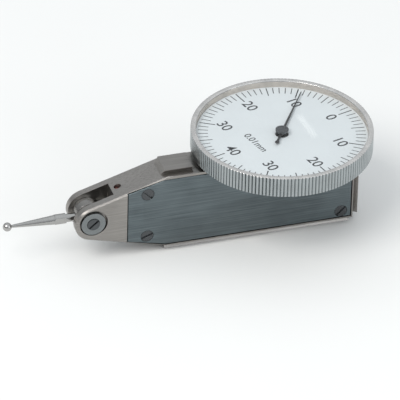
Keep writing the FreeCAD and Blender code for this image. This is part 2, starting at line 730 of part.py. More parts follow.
def make_cover_screws():
    slot_turns = (45, -70, -45, 20)
    for number, ((x, z), turn) in enumerate(zip(cover_screw_places(), slot_turns), start=1):
        screw("cover_screw_%d" % number, S.screw_head_radius, S.screw_head_height, S.screw_radius,
              S.screw_length, turn, Rotation(TO_FRONT), x=x, y=-HALF, z=z)


def make_pivot_bearings():
    """In each cheek, a disc that carries the axle's end and a slotted screw that closes it."""
    sides = (("front", -1, TO_FRONT, -50), ("rear", 1, TO_BACK, 30))
    for name, side, turn, slot_turn in sides:
        bore = S.axle_radius + S.axle_play
        seat = S.pivot_screw_radius + S.fit_gap
        points = [(bore, 0), (S.bearing_radius, 0), (S.bearing_radius, S.bearing_thickness),
                  (seat, S.bearing_thickness), (seat, S.bearing_land), (bore, S.bearing_land)]
        turned_piece(name + "_bearing_disc", points, rotation=turn, x=PIVOT_X, y=BEARING_FACE * side, z=PIVOT_Z)
        depth = S.bearing_pocket_depth - S.bearing_land - S.end_play / 2
        body = turned_piece(name + "_pivot_screw", [(0, -depth), (S.pivot_screw_radius, -depth),
                                                    (S.pivot_screw_radius, 0), (0, 0)])
        slot = new_sketch(body, "XY_Plane", "slot")
        half = S.screw_slot_width / 2
        box_outline(slot, -half, half, -S.pivot_screw_radius - 1, S.pivot_screw_radius + 1)
        pocket(body, slot, S.screw_slot_depth)
        place(body, rotation=Rotation(turn).multiply(Rotation(Vector(0, 0, 1), slot_turn)),
              x=PIVOT_X, y=HALF * side, z=PIVOT_Z)


def make_nose_grub_screw():
    body = turned_piece("nose_grub_screw", [(0, -S.grub_length), (S.grub_radius, -S.grub_length),
                                            (S.grub_radius, 0), (0, 0)])
    slot = new_sketch(body, "XY_Plane", "slot")
    box_outline(slot, -0.15, 0.15, -S.grub_radius - 1, S.grub_radius + 1)
    pocket(body, slot, S.screw_slot_depth)
    (top_x, top_z), _ = nose_points()
    rise = (BODY_TOP - top_z) / (-S.top_kink - top_x)
    surface = top_z + (PIVOT_X + S.grub_reach - top_x) * rise
    place(body, x=PIVOT_X + S.grub_reach, z=surface - S.grub_sink)


def make_stop_pins():
    for name, side in (("upper", 1), ("lower", -1)):
        pin = doc.addObject("Part::Cylinder", name + "_stop_pin")
        pin.Label = name + "_stop_pin"
        pin.setExpression("Radius", S.stop_radius.text)
        pin.setExpression("Height", (BACK_INNER + S.back_wall / 2 - S.fit_gap + S.lever_half_width * 2).text)
        place(pin, rotation=TO_FRONT, x=-S.stop_reach, y=BACK_INNER + S.back_wall / 2 - S.fit_gap,
              z=PIVOT_Z + stop_offset() * side)
        NAMES.append(pin.Label)


# Lever and stylus


def make_pivot_axle():
    points = [(0, -AXLE_END), (S.axle_radius, -AXLE_END), (S.axle_radius, AXLE_END), (0, AXLE_END)]
    turned_piece("pivot_axle", points, rotation=TO_FRONT, x=PIVOT_X, z=PIVOT_Z)


def make_lever_arm():
    body = new_body("lever_arm")
    web_end = S.holder_radius + S.end_play * 3 + S.yoke_web
    yoke = new_sketch(body, "XZ_Plane", "yoke")
    half = S.yoke_radius * 0.6
    reach = root(S.yoke_radius * S.yoke_radius - half * half)
    outline(yoke, [(PIVOT_X + web_end, PIVOT_Z - half), (PIVOT_X + web_end, PIVOT_Z + half),
                   (PIVOT_X + reach, PIVOT_Z + half), (PIVOT_X + reach, PIVOT_Z - half)],
            {2: (S.yoke_radius, PIVOT_X, PIVOT_Z, True)})
    pad(body, yoke, S.yoke_half_width * 2, both=True)
    gap = new_sketch(body, "XY_Plane", "gap")
    near = -(S.holder_half_width + S.end_play / 2)
    far = S.holder_half_width + S.washer_thickness + S.end_play / 2
    box_outline(gap, PIVOT_X - S.yoke_radius - 1, PIVOT_X + web_end - S.yoke_web, near, far)
    pocket(body, gap, (PIVOT_Z + S.yoke_radius) * 2 + 2, both=True)
    arm = new_sketch(body, "XZ_Plane", "arm")
    start = web_end - S.yoke_web / 2
    tip = SECTOR_RADIUS - S.sector_rim - 0.3
    near_half = lever_half_at(start)
    tip_half = lever_half_at(tip)
    outline(arm, [(PIVOT_X + tip, PIVOT_Z - tip_half), (PIVOT_X + tip, PIVOT_Z + tip_half),
                  (PIVOT_X + start, PIVOT_Z + near_half), (PIVOT_X + start, PIVOT_Z - near_half)])
    pad(body, arm, S.lever_half_width * 2, both=True)
    holes = new_sketch(body, "XZ_Plane", "holes")
    disc(holes, PIVOT_X, PIVOT_Z, S.axle_radius + S.fit_gap / 2)
    for x in rivet_places():
        disc(holes, x, PIVOT_Z, S.rivet_radius + S.fit_gap / 2)
    pocket(body, holes, BODY_WIDTH, both=True)


def rivet_places():
    last = PIVOT_X + SECTOR_RADIUS - S.sector_rim - 1
    return [last - S.rivet_spacing, last]


def arc_points(radius, start, stop, count):
    """Points round the origin, in the plane of a gear."""
    turns = [start + (stop - start) * i / (count - 1) for i in range(count)]
    return [Vector(radius * math.cos(a), radius * math.sin(a), 0) for a in turns]


def face_of(points):
    return Part.Face(Part.makePolygon(points + [points[0]]))


def involute_gear(teeth, module, thickness, play, start_turn):
    """A spur pinion about Z, from z = 0 up. The middle of a tooth space is at start_turn, in radians."""
    pitch = module * teeth / 2
    base = pitch * math.cos(math.radians(20))
    tip = pitch + module * 0.95
    bottom = pitch - module * 1.15
    space = math.pi / teeth

    def spread(radius):
        """Angle by which a flank has turned at a radius, measured from the pitch circle."""
        def roll(r):
            ratio = max(r / base, 1.0)
            return math.sqrt(ratio * ratio - 1) - math.acos(1 / ratio)
        return roll(radius) - roll(pitch)

    half_tooth = math.pi / 2 / teeth - play / 2 / pitch
    points = []
    for i in range(teeth):
        middle = start_turn + space * (2 * i + 1)
        radii = [bottom, max(base, bottom), (max(base, bottom) + pitch) / 2, pitch, tip]
        for radius in radii:
            turn = middle - (half_tooth - spread(radius))
            points.append(Vector(radius * math.cos(turn), radius * math.sin(turn), 0))
        for radius in reversed(radii):
            turn = middle + (half_tooth - spread(radius))
            points.append(Vector(radius * math.cos(turn), radius * math.sin(turn), 0))
    return face_of(points).extrude(Vector(0, 0, thickness))


def make_sector_gear():
    """A brass plate on the lever's side, with straight-flanked teeth on its round edge."""
    radius = SECTOR_RADIUS.value
    module = S.tooth_module.value
    step = 2 * math.pi / S.sector_teeth.value
    teeth = int(S.sector_cut_teeth.value)
    lean = math.tan(math.radians(20))
    half_tooth = math.pi * module / 4 - S.tooth_play.value / 2
    tip = radius + module * 0.95
    bottom = radius - module * 1.2
    edge = []
    for i in range(teeth):
        middle = (i - (teeth - 1) / 2) * step
        for r, side in ((bottom, -1), (tip, -1), (tip, 1), (bottom, 1)):
            turn = middle + side * (half_tooth - (r - radius) * lean) / r
            edge.append(Vector(r * math.cos(turn), r * math.sin(turn), 0))
    half_turn = step * teeth / 2
    inner = radius - S.sector_rim.value
    rim = arc_points(inner, half_turn, -half_turn, 7)
    rim_face = face_of([Vector(bottom * math.cos(half_turn), -bottom * math.sin(half_turn), 0)] + edge
                       + [Vector(bottom * math.cos(half_turn), bottom * math.sin(half_turn), 0)] + rim)
    tail_half = S.sector_tail_half_height.value
    start = radius - S.sector_depth.value
    tail = face_of([Vector(start, -tail_half, 0), Vector(inner + 0.5, -tail_half, 0),
                    Vector(inner + 0.5, tail_half, 0), Vector(start, tail_half, 0)])
    thickness = S.sector_thickness.value
    plate = rim_face.extrude(Vector(0, 0, thickness)).fuse(tail.extrude(Vector(0, 0, thickness)))
    hole_radius = S.rivet_radius.value + S.fit_gap.value / 2
    for x in rivet_places():
        at = Vector(x.value - PIVOT_X.value, 0, -1)
        plate = plate.cut(Part.makeCylinder(hole_radius, thickness + 2, at))
    plate = plate.removeSplitter()
    outer = S.lever_half_width + S.sector_thickness
    solid_piece("sector_gear", plate, rotation=TO_FRONT, x=PIVOT_X, y=outer, z=PIVOT_Z)


def make_sector_rivets():
    for number, x in enumerate(rivet_places(), start=1):
        reach = S.lever_half_width + S.sector_thickness
        head = S.rivet_radius * 1.6
        rise = S.rivet_radius / 2
        points = [(0, -reach - rise), (head, -reach - rise), (head, -reach), (S.rivet_radius, -reach),
                  (S.rivet_radius, S.lever_half_width), (head, S.lever_half_width),
                  (head, S.lever_half_width + rise), (0, S.lever_half_width + rise)]
        turned_piece("sector_rivet_%d" % number, points, rotation=TO_FRONT, x=x, z=PIVOT_Z)


def make_clutch_washer():
    start = S.holder_half_width + S.end_play / 4
    bore = S.axle_radius + S.axle_play
    end = start + S.washer_thickness
    points = [(bore, start), (S.washer_radius, start), (S.washer_radius, end), (bore, end)]
    turned_piece("clutch_washer", points, rotation=TO_BACK, x=PIVOT_X, z=PIVOT_Z)


def make_stylus_holder():
    body = new_body("stylus_holder")
    form = new_sketch(body, "XZ_Plane", "form")
    half = root(S.holder_radius * S.holder_radius - S.holder_flat * S.holder_flat)
    outline(form, [(PIVOT_X - S.holder_flat, PIVOT_Z + half), (PIVOT_X - S.holder_flat, PIVOT_Z - half)],
            {1: (S.holder_radius, PIVOT_X, PIVOT_Z, True)})
    pad(body, form, S.holder_half_width * 2, both=True)
    bore = new_sketch(body, "XZ_Plane", "bore")
    disc(bore, PIVOT_X, PIVOT_Z, S.axle_radius + S.axle_play)
    pocket(body, bore, BODY_WIDTH, both=True)
    thread = new_sketch(body, "YZ_Plane", "thread", PIVOT_X - S.holder_flat - 1)
    disc(thread, 0, PIVOT_Z, S.thread_radius + S.fit_gap)
    pocket(body, thread, S.thread_length + 1.1, reverse=True)


def make_stylus_shank():
    """The shank is turned about its own Z axis, which points from the pivot to the ball."""
    seat = S.ball_radius + S.fit_gap
    tip = S.stylus_reach - root(seat * seat - S.stylus_tip_radius * S.stylus_tip_radius)
    collar_end = S.collar_start + S.collar_length
    points = [
        (0, S.holder_flat - S.thread_length),
        (S.thread_radius, S.holder_flat - S.thread_length),
        (S.thread_radius, S.holder_flat),
        (S.neck_radius, S.holder_flat),
        (S.neck_radius, S.collar_start),
        (S.collar_radius, S.collar_start),
        (S.collar_radius, collar_end),
        (S.stylus_root_radius, collar_end + 0.1),
        (S.stylus_tip_radius, tip),
        (0, S.stylus_reach - seat),
    ]
    body = turned_piece("stylus_shank", points, {8: (seat, 0, S.stylus_reach, False)})
    flats = new_sketch(body, "YZ_Plane", "flats")
    for side in (-1, 1):
        edges = sorted((S.collar_flat * side, (S.collar_flat + 1) * side), key=lambda t: t.value)
        box_outline(flats, edges[0], edges[1], S.collar_start, collar_end)
    pocket(body, flats, S.collar_radius * 4, both=True)
    place(body, rotation=Rotation(Vector(0, 1, 0), -90), x=PIVOT_X, z=PIVOT_Z)


def make_contact_ball():
    ball = doc.addObject("Part::Sphere", "contact_ball")
    ball.Label = "contact_ball"
    ball.setExpression("Radius", S.ball_radius.text)
    place(ball, x=PIVOT_X - S.stylus_reach, z=PIVOT_Z)
    NAMES.append(ball.Label)


# Crown arbor


def make_pinion_arbor():
    """The arbor lies along Y. Its pinion meshes with the sector, and its ends run in two bushes."""
    rear_shoulder = BACK_INNER.value - 0.2
    front_shoulder = -(BRIDGE_INNER.value - 0.15)
    pivot = S.arbor_pivot_radius.value
    arbor = Part.makeCylinder(S.arbor_radius.value, rear_shoulder - front_shoulder)
    rear_tip = BACK_INNER.value + S.back_wall.value / 2 - rear_shoulder
    arbor = arbor.fuse(Part.makeCylinder(pivot, rear_tip, Vector(), Vector(0, 0, -1)))
    front_tip = BRIDGE_OUTER.value - S.fit_gap.value + front_shoulder
    arbor = arbor.fuse(Part.makeCylinder(pivot, front_tip, Vector(0, 0, rear_shoulder - front_shoulder)))
    middle = S.lever_half_width.value + S.sector_thickness.value / 2
    start = rear_shoulder - middle - S.pinion_face.value / 2
    gear = involute_gear(int(S.pinion_teeth.value), S.tooth_module.value, S.pinion_face.value,
                         S.tooth_play.value, math.pi)
    gear.translate(Vector(0, 0, start))
    arbor = arbor.fuse(gear).removeSplitter()
    solid_piece("pinion_arbor", arbor, rotation=TO_FRONT, y=BACK_INNER - 0.2, z=PIVOT_Z)


def make_crown_gear():
    """A contrate wheel: its teeth stand on the disc and point to the pointer arbor."""
    module = S.crown_module.value
    teeth = int(S.crown_teeth.value)
    pitch = CROWN_RADIUS.value
    half_face = S.crown_face.value / 2
    outer = pitch + half_face
    root_level = WHEEL_FRONT.value
    rise = root_level - (CENTRE_RADIUS.value - module * 0.95)
    disc_height = S.crown_disc.value
    hub_height = S.crown_hub_length.value
    wheel = Part.makeCylinder(outer, disc_height, Vector(0, 0, -disc_height))
    window = (pitch - half_face + S.crown_hub_radius.value) / 2
    window_radius = (pitch - half_face - S.crown_hub_radius.value) * 0.36
    for i in range(5):
        turn = 2 * math.pi * i / 5
        at = Vector(window * math.cos(turn), window * math.sin(turn), -disc_height)
        wheel = wheel.cut(Part.makeCylinder(window_radius, disc_height, at))
    lean = math.tan(math.radians(20))
    pieces = []
    for i in range(teeth):
        turn = 2 * math.pi * (i + 0.5) / teeth - math.pi / 2
        wires = []
        for radius in (pitch - half_face, outer - 0.02):
            half = math.pi * radius / teeth / 2 - S.tooth_play.value / 2
            pitch_level = root_level - CENTRE_RADIUS.value
            corners = []
            for level, side in ((-0.1, -1), (rise, -1), (rise, 1), (-0.1, 1)):
                across = side * (half - (level - pitch_level) * lean)
                corners.append(Vector(radius * math.cos(turn) - across * math.sin(turn),
                                      radius * math.sin(turn) + across * math.cos(turn), level))
            wires.append(Part.makePolygon(corners + [corners[0]]))
        pieces.append(Part.makeLoft(wires, True, True))
    wheel = wheel.multiFuse(pieces)
    hub = Part.makeCylinder(S.crown_hub_radius.value, hub_height + disc_height, Vector(0, 0, -disc_height))
    wheel = wheel.fuse(hub)
    bore_radius = S.arbor_radius.value + S.fit_gap.value / 2
    bore = Part.makeCylinder(bore_radius, hub_height + disc_height, Vector(0, 0, -disc_height))
    wheel = wheel.cut(bore).removeSplitter()
    solid_piece("crown_gear", wheel, rotation=TO_BACK, y=-WHEEL_FRONT, z=PIVOT_Z)


def make_arbor_bushes():
    bore = S.arbor_pivot_radius + S.pivot_play
    rear = S.back_wall * 0.6
    turned_piece("arbor_rear_bush", [(bore, 0), (S.bush_radius, 0), (S.bush_radius, rear), (bore, rear)],
                 rotation=TO_BACK, y=BACK_INNER, z=PIVOT_Z)
    front = S.train_bridge_thickness
    turned_piece("arbor_front_bush", [(bore, 0), (S.bush_radius, 0), (S.bush_radius, front), (bore, front)],
                 rotation=TO_FRONT, y=-BRIDGE_INNER, z=PIVOT_Z)


def make_train_bridge():
    body = new_body("train_bridge")
    form = new_sketch(body, "XZ_Plane", "form", BRIDGE_INNER)
    nose = S.bush_radius + 0.9
    reach = S.train_post_reach
    wide = S.train_post_spread + S.train_post_radius
    across = nose * cosine(term(30))
    outline(form, [(reach + S.train_post_radius, PIVOT_Z - wide), (reach + S.train_post_radius, PIVOT_Z + wide),
                   (reach - S.train_post_radius, PIVOT_Z + wide), (-nose / 2, PIVOT_Z + across),
                   (-nose / 2, PIVOT_Z - across), (reach - S.train_post_radius, PIVOT_Z - wide)],
            {3: (nose, 0, PIVOT_Z, True)})
    pad(body, form, S.train_bridge_thickness)
    holes = new_sketch(body, "XZ_Plane", "holes")
    disc(holes, 0, PIVOT_Z, S.bush_radius + S.fit_gap)
    for side in (-1, 1):
        z = PIVOT_Z + S.train_post_spread * side
        disc(holes, reach, z, S.small_screw_radius + S.screw_play)
    pocket(body, holes, BODY_WIDTH, both=True)
    heads = new_sketch(body, "XZ_Plane", "heads", BRIDGE_OUTER)
    for side in (-1, 1):
        z = PIVOT_Z + S.train_post_spread * side
        disc(heads, reach, z, S.small_head_radius + S.screw_play)
    pocket(body, heads, S.small_head_height)
    for number, side in ((1, 1), (2, -1)):
        screw("train_bridge_screw_%d" % number, S.small_head_radius, S.small_head_height, S.small_screw_radius,
              S.small_screw_length, 30, Rotation(TO_FRONT), x=reach, y=-BRIDGE_OUTER,
              z=PIVOT_Z + S.train_post_spread * side)


# Pointer arbor


def make_pointer_bridge():
    body = new_body("pointer_bridge")
    plate = new_sketch(body, "XZ_Plane", "plate", -BACK_INNER)
    half = S.foot_plate_half_width
    bottom = FOOT_BOTTOM
    box_outline(plate, -half, half, bottom, bottom + S.foot_plate_height)
    pad(body, plate, S.foot_plate_thickness)
    tongue = new_sketch(body, "XY_Plane", "tongue", bottom)
    narrow = S.foot_bearing_half_width
    box_outline(tongue, -narrow, narrow, -S.foot_bearing_half_width + 0.3, BACK_INNER)
    pad(body, tongue, S.foot_bearing_thickness)
    bearing = new_sketch(body, "XY_Plane", "bearing", FOOT_TOP)
    disc(bearing, 0, 0, S.arbor_pivot_radius + S.pivot_play)
    pocket(body, bearing, S.foot_bearing_thickness)
    holes = new_sketch(body, "XZ_Plane", "holes")
    for side in (-1, 1):
        disc(holes, S.foot_screw_spread * side, foot_screw_height(), S.small_screw_radius + S.screw_play)
    pocket(body, holes, BODY_WIDTH, both=True)
    for number, side in ((1, -1), (2, 1)):
        screw("pointer_bridge_screw_%d" % number, S.small_head_radius, S.small_head_height, S.small_screw_radius,
              S.small_screw_length, 60, Rotation(TO_FRONT), x=S.foot_screw_spread * side,
              y=BACK_INNER - S.foot_plate_thickness - S.small_head_height, z=foot_screw_height())


def make_pointer_arbor():
    """The arbor stands on the dial axis, with the centre pinion level with the crown wheel's teeth."""
    radius = S.pointer_arbor_radius.value
    top = POINTER_TOP.value + S.cap_neck_height.value
    start = FOOT_TOP.value + 0.15
    arbor = Part.makeCylinder(radius, top - start, Vector(0, 0, start))
    pivot_bottom = FOOT_BOTTOM.value + 0.1
    arbor = arbor.fuse(Part.makeCylinder(S.arbor_pivot_radius.value, start - pivot_bottom, Vector(0, 0, pivot_bottom)))
    gear = involute_gear(int(S.centre_teeth.value), S.crown_module.value, S.centre_face.value,
                         S.tooth_play.value, math.pi / int(S.centre_teeth.value) - math.pi / 2)
    middle = PIVOT_Z.value + CROWN_RADIUS.value
    gear.translate(Vector(0, 0, middle - S.centre_face.value / 2))
    solid_piece("pointer_arbor", arbor.fuse(gear).removeSplitter())


def make_centre_bush():
    bore = S.pointer_arbor_radius + S.pivot_play
    bottom = CHAMBER_TOP
    flange = CASE_FLOOR
    top = flange + S.centre_bush_flange_height
    turned_piece("centre_bush", [(bore, bottom), (S.centre_bush_radius, bottom), (S.centre_bush_radius, flange),
                                 (S.centre_bush_flange, flange), (S.centre_bush_flange, top), (bore, top)])


def spring_level():
    return CASE_FLOOR + S.spring_lift


def make_hairspring():
    """A flat spiral from just outside the collet to the stud."""
    start = S.collet_radius.value + S.spring_gap.value
    pitch = S.spring_pitch.value
    turns = S.spring_turns.value
    thickness = S.spring_thickness.value
    steps = int(turns * 16)

    def edge(offset):
        points = []
        for i in range(steps + 1):
            turn = 2 * math.pi * turns * i / steps
            radius = start + offset + pitch * turn / (2 * math.pi)
            points.append(Vector(radius * math.cos(turn), radius * math.sin(turn), 0))
        curve = Part.BSplineCurve()
        curve.interpolate(points)
        return curve.toShape(), points

    inner, inner_points = edge(0)
    outer, outer_points = edge(thickness)
    sides = [inner, Part.makeLine(inner_points[-1], outer_points[-1]), outer,
             Part.makeLine(outer_points[0], inner_points[0])]
    strip = Part.Face(Part.Wire(Part.__sortEdges__(sides))).extrude(Vector(0, 0, S.spring_height.value))
    solid_piece("hairspring", strip, z=spring_level())


def make_hairspring_stud():
    height = S.spring_lift + S.spring_height + 0.2
    reach = S.collet_radius + S.spring_gap + S.spring_pitch * S.spring_turns + S.spring_thickness
    points = [(0, 0), (S.stud_radius, 0), (S.stud_radius, height), (0, height)]
    turned_piece("hairspring_stud", points, x=reach + S.stud_radius + S.fit_gap, z=CASE_FLOOR)


def make_hairspring_collet():
    bore = S.pointer_arbor_radius + S.fit_gap / 2
    bottom = spring_level() - 0.1
    top = bottom + S.collet_height
    turned_piece("hairspring_collet", [(bore, bottom), (S.collet_radius, bottom), (S.collet_radius, top), (bore, top)])


def make_pointer():
    """A thin blackened needle with a round boss and a drop-shaped tail."""
    boss = S.pointer_boss_radius.value
    root_half = S.pointer_root_half_width.value
    tip_half = S.pointer_tip_half_width.value
    length = S.pointer_length.value
    tail = S.pointer_tail.value
    drop = S.pointer_drop_radius.value
    narrow = root_half * 0.7
    thickness = S.pointer_thickness.value
    needle = face_of([Vector(0, -root_half, 0), Vector(length, -tip_half, 0), Vector(length + tip_half, 0, 0),
                      Vector(length, tip_half, 0), Vector(0, root_half, 0)])
    stem = face_of([Vector(0, root_half, 0), Vector(-tail, narrow, 0), Vector(-tail, -narrow, 0),
                    Vector(0, -root_half, 0)])
    shape = needle.extrude(Vector(0, 0, thickness)).fuse(stem.extrude(Vector(0, 0, thickness)))
    shape = shape.fuse(Part.makeCylinder(boss, thickness))
    end = Part.makeCylinder(drop, thickness, Vector(-tail, 0, 0))
    point = face_of([Vector(-tail, -drop, 0), Vector(-tail, drop, 0), Vector(-tail + drop * 3, 0, 0)])
    shape = shape.fuse(end).fuse(point.extrude(Vector(0, 0, thickness)))
    bore = Part.makeCylinder(S.pointer_arbor_radius.value + S.fit_gap.value / 2, thickness)
    shape = shape.cut(bore).removeSplitter()
    piece = solid_piece("pointer", shape, z=POINTER_BOTTOM)
    piece.setExpression("Placement.Rotation.Angle", S.pointer_angle.text)


def make_pointer_hub():
    bore = S.pointer_arbor_radius + S.fit_gap / 2
    neck_top = POINTER_TOP + S.cap_neck_height
    top = neck_top + S.cap_height
    points = [(bore, POINTER_TOP), (S.cap_neck_radius, POINTER_TOP), (S.cap_neck_radius, neck_top),
              (S.cap_radius, neck_top), (S.cap_radius, top), (0, top), (0, neck_top + S.fit_gap),
              (bore, neck_top + S.fit_gap)]
    turned_piece("pointer_hub", points)


# Dial case, bezel and dial


def make_dial_case():
    """A shallow round cup on the body, which the bezel turns on."""
    groove = BODY_TOP + S.ring_groove_lift
    groove_top = groove + S.ring_groove_height
    deep = CASE_RADIUS - S.ring_groove_depth
    foot = BODY_TOP + S.bezel_gap - 0.06
    top = BODY_TOP + S.case_height
    inside = CASE_RADIUS - S.case_wall
    hole = S.centre_bush_radius + S.fit_gap
    foot_radius = CASE_RADIUS - S.case_foot_step
    points = [(hole, BODY_TOP), (foot_radius, BODY_TOP), (foot_radius, foot), (CASE_RADIUS, foot + 0.2),
              (CASE_RADIUS, groove), (deep, groove), (deep, groove_top), (CASE_RADIUS, groove_top),
              (CASE_RADIUS, top), (inside, top), (inside, CASE_FLOOR), (hole, CASE_FLOOR)]
    body = turned_piece("dial_case", points)
    shanks = new_sketch(body, "XY_Plane", "shanks", CASE_FLOOR)
    heads = new_sketch(body, "XY_Plane", "heads", CASE_FLOOR)
    for side in (-1, 1):
        disc(shanks, S.case_screw_reach * side, 0, S.small_screw_radius + S.screw_play)
        disc(heads, S.case_screw_reach * side, 0, S.small_head_radius + S.screw_play)
    pocket(body, shanks, S.case_floor)
    pocket(body, heads, S.small_head_height)
    for number, side in ((1, -1), (2, 1)):
        screw("case_screw_%d" % number, S.small_head_radius, S.small_head_height, S.small_screw_radius,
              S.small_screw_length + S.case_floor, 15, Rotation(), x=S.case_screw_reach * side, z=CASE_FLOOR)


def make_bezel_snap_ring():
    radius = CASE_RADIUS - S.ring_groove_depth + S.ring_wire_radius + 0.05
    ring = doc.addObject("Part::Torus", "bezel_snap_ring")
    ring.Label = "bezel_snap_ring"
    ring.setExpression("Radius1", radius.text)
    ring.setExpression("Radius2", S.ring_wire_radius.text)
    place(ring, z=BODY_TOP + S.ring_groove_lift + S.ring_groove_height / 2)
    NAMES.append(ring.Label)


def crystal_levels():
    rim_top = BEZEL_TOP - S.crystal_drop
    return rim_top - S.crystal_thickness, rim_top


def make_bezel():
    """A knurled ring: serrated outside, and turned inside for the crystal, the dial and the snap ring."""
    count = int(S.knurl_count.value)
    step = 2 * math.pi / count
    land = step * S.knurl_land.value
    outer = S.bezel_radius.value
    deep = outer - S.knurl_depth.value
    points = []
    for i in range(count):
        start = i * step
        for radius, turn in ((outer, start), (outer, start + land), (deep, start + (land + step) / 2)):
            points.append(Vector(radius * math.cos(turn), radius * math.sin(turn), BEZEL_BOTTOM.value))
    ring = face_of(points).extrude(Vector(0, 0, S.bezel_height.value))
    bottom, top = BEZEL_BOTTOM.value, BEZEL_TOP.value
    opening = OPENING.value
    rim_bottom, rim_top = [level.value for level in crystal_levels()]
    groove_bottom = rim_bottom - S.gasket_height.value - 2 * S.fit_gap.value
    bite = opening + S.crystal_bite.value + S.fit_gap.value
    dial_bottom = DIAL_FACE.value - S.dial_thickness.value
    ledge = opening - S.dial_ledge.value
    case_top = BODY_TOP.value + S.case_height.value + 0.15
    bore = BEZEL_BORE.value
    ring_low = BODY_TOP.value + S.ring_groove_lift.value - 0.1
    ring_high = ring_low + S.ring_groove_height.value + 0.2
    ring_deep = CASE_RADIUS.value + S.ring_wire_radius.value + 0.1
    inside = [(0, bottom - 1), (bore, bottom - 1), (bore, ring_low), (ring_deep, ring_low), (ring_deep, ring_high),
              (bore, ring_high), (bore, case_top), (ledge, case_top), (ledge, dial_bottom), (opening, dial_bottom),
              (opening, groove_bottom), (bite, groove_bottom), (bite, rim_top + S.fit_gap.value),
              (opening, rim_top + S.fit_gap.value), (opening, top + 1), (0, top + 1)]
    section = face_of([Vector(r, 0, z) for r, z in inside])
    solid_piece("bezel", ring.cut(section.revolve(Vector(), Vector(0, 0, 1), 360)))


def make_dial_plate():
    radius = OPENING - S.fit_gap
    bottom = DIAL_FACE - S.dial_thickness
    turned_piece("dial_plate", [(S.dial_hole_radius, bottom), (radius, bottom), (radius, DIAL_FACE),
                                (S.dial_hole_radius, DIAL_FACE)])


def make_crystal():
    """A slightly domed clear disc whose rim snaps into the bezel."""
    rim_bottom, rim_top = crystal_levels()
    radius = OPENING + S.crystal_bite
    start = OPENING - 0.1
    rise = S.crystal_rise
    dome = (start * start + rise * rise) / (rise * 2)
    points = [(0, rim_bottom + rise), (start, rim_bottom), (radius, rim_bottom), (radius, rim_top),
              (start, rim_top), (0, rim_top + rise)]
    arcs = {0: (dome, 0, rim_bottom + rise - dome, False), 4: (dome, 0, rim_top + rise - dome, True)}
    turned_piece("crystal", points, arcs)


def make_crystal_gasket():
    rim_bottom, _ = crystal_levels()
    inner = OPENING + S.fit_gap
    outer = OPENING + S.crystal_bite
    top = rim_bottom - S.fit_gap
    bottom = top - S.gasket_height
    turned_piece("crystal_gasket", [(inner, bottom), (outer, bottom), (outer, top), (inner, top)])


def check_and_export():
    """Stops on any failed feature or bad shape, then writes one file for each piece."""
    doc.recompute()
    for item in doc.Objects:
        bad = [state for state in item.State if state in ("Invalid", "Error")]
        if bad:
            raise RuntimeError("%s: %s" % (item.Name, bad))
    os.makedirs("parts", exist_ok=True)
    for name in NAMES:
        shape = doc.getObjectsByLabel(name)[0].Shape
        if shape.isNull() or not shape.isValid() or not shape.Solids:
            raise RuntimeError("bad shape: " + name)
        shape.exportStep(os.path.join("parts", name + ".step"))
        print("%-24s %d solid, %9.3f mm3" % (name, len(shape.Solids), shape.Volume))
    print("pieces: %d" % len(NAMES))


make_body_housing()
make_side_cover()
make_cover_screws()
make_pivot_bearings()
make_nose_grub_screw()
make_stop_pins()
make_pivot_axle()
make_lever_arm()
make_sector_gear()
make_sector_rivets()
make_clutch_washer()
make_stylus_holder()
make_stylus_shank()
make_contact_ball()
make_pinion_arbor()
make_crown_gear()
make_arbor_bushes()
make_train_bridge()
make_pointer_bridge()
make_pointer_arbor()
make_centre_bush()
make_hairspring()
make_hairspring_stud()
make_hairspring_collet()
make_pointer()
make_pointer_hub()
make_dial_case()
make_bezel_snap_ring()
make_bezel()
make_dial_plate()
make_crystal()
make_crystal_gasket()
check_and_export()
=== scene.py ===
"""Looks of a lever-type dial test indicator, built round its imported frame.

All lengths are in metres in the frame's own axes: +X runs to the rear end, the side cover faces -Y and
the dial faces +Z. Lengths that are easier to read in millimetres are written as a number times MM.
"""
import logging
import math
from dataclasses import dataclass, field
from enum import Enum

import bmesh
import bpy
import numpy as np
from mathutils import Matrix, Vector

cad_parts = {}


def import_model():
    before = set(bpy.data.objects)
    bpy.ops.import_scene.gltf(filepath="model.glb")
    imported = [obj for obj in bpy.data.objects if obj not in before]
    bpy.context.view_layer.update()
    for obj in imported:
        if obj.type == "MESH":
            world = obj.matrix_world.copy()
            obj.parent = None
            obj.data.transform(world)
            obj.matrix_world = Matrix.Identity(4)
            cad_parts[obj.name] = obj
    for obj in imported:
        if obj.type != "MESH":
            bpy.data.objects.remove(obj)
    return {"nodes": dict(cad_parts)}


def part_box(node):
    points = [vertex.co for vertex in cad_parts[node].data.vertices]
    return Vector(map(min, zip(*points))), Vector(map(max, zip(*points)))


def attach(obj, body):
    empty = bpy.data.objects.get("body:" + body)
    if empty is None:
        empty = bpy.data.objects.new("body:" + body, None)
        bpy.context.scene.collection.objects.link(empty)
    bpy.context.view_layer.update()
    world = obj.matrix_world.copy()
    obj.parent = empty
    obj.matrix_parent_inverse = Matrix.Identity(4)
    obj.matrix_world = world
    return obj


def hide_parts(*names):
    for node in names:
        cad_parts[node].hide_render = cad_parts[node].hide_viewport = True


MM = 0.001
NOISE_BAND = (0.3, 0.7)
SMOOTH_CREASE = math.radians(35)
MERGE_DISTANCE = 0.002 * MM
Colour = tuple[float, float, float]
LOG = logging.getLogger("indicator")


class Grain(Enum):
    """How a metal surface was worked, which sets the run of its fine marks."""

    ALONG = "drawn lengthwise"
    TURNED = "turned about the dial axis"
    PIVOT = "turned about the pivot"
    STYLUS = "turned about the stylus"
    EVEN = "bead blasted or polished"


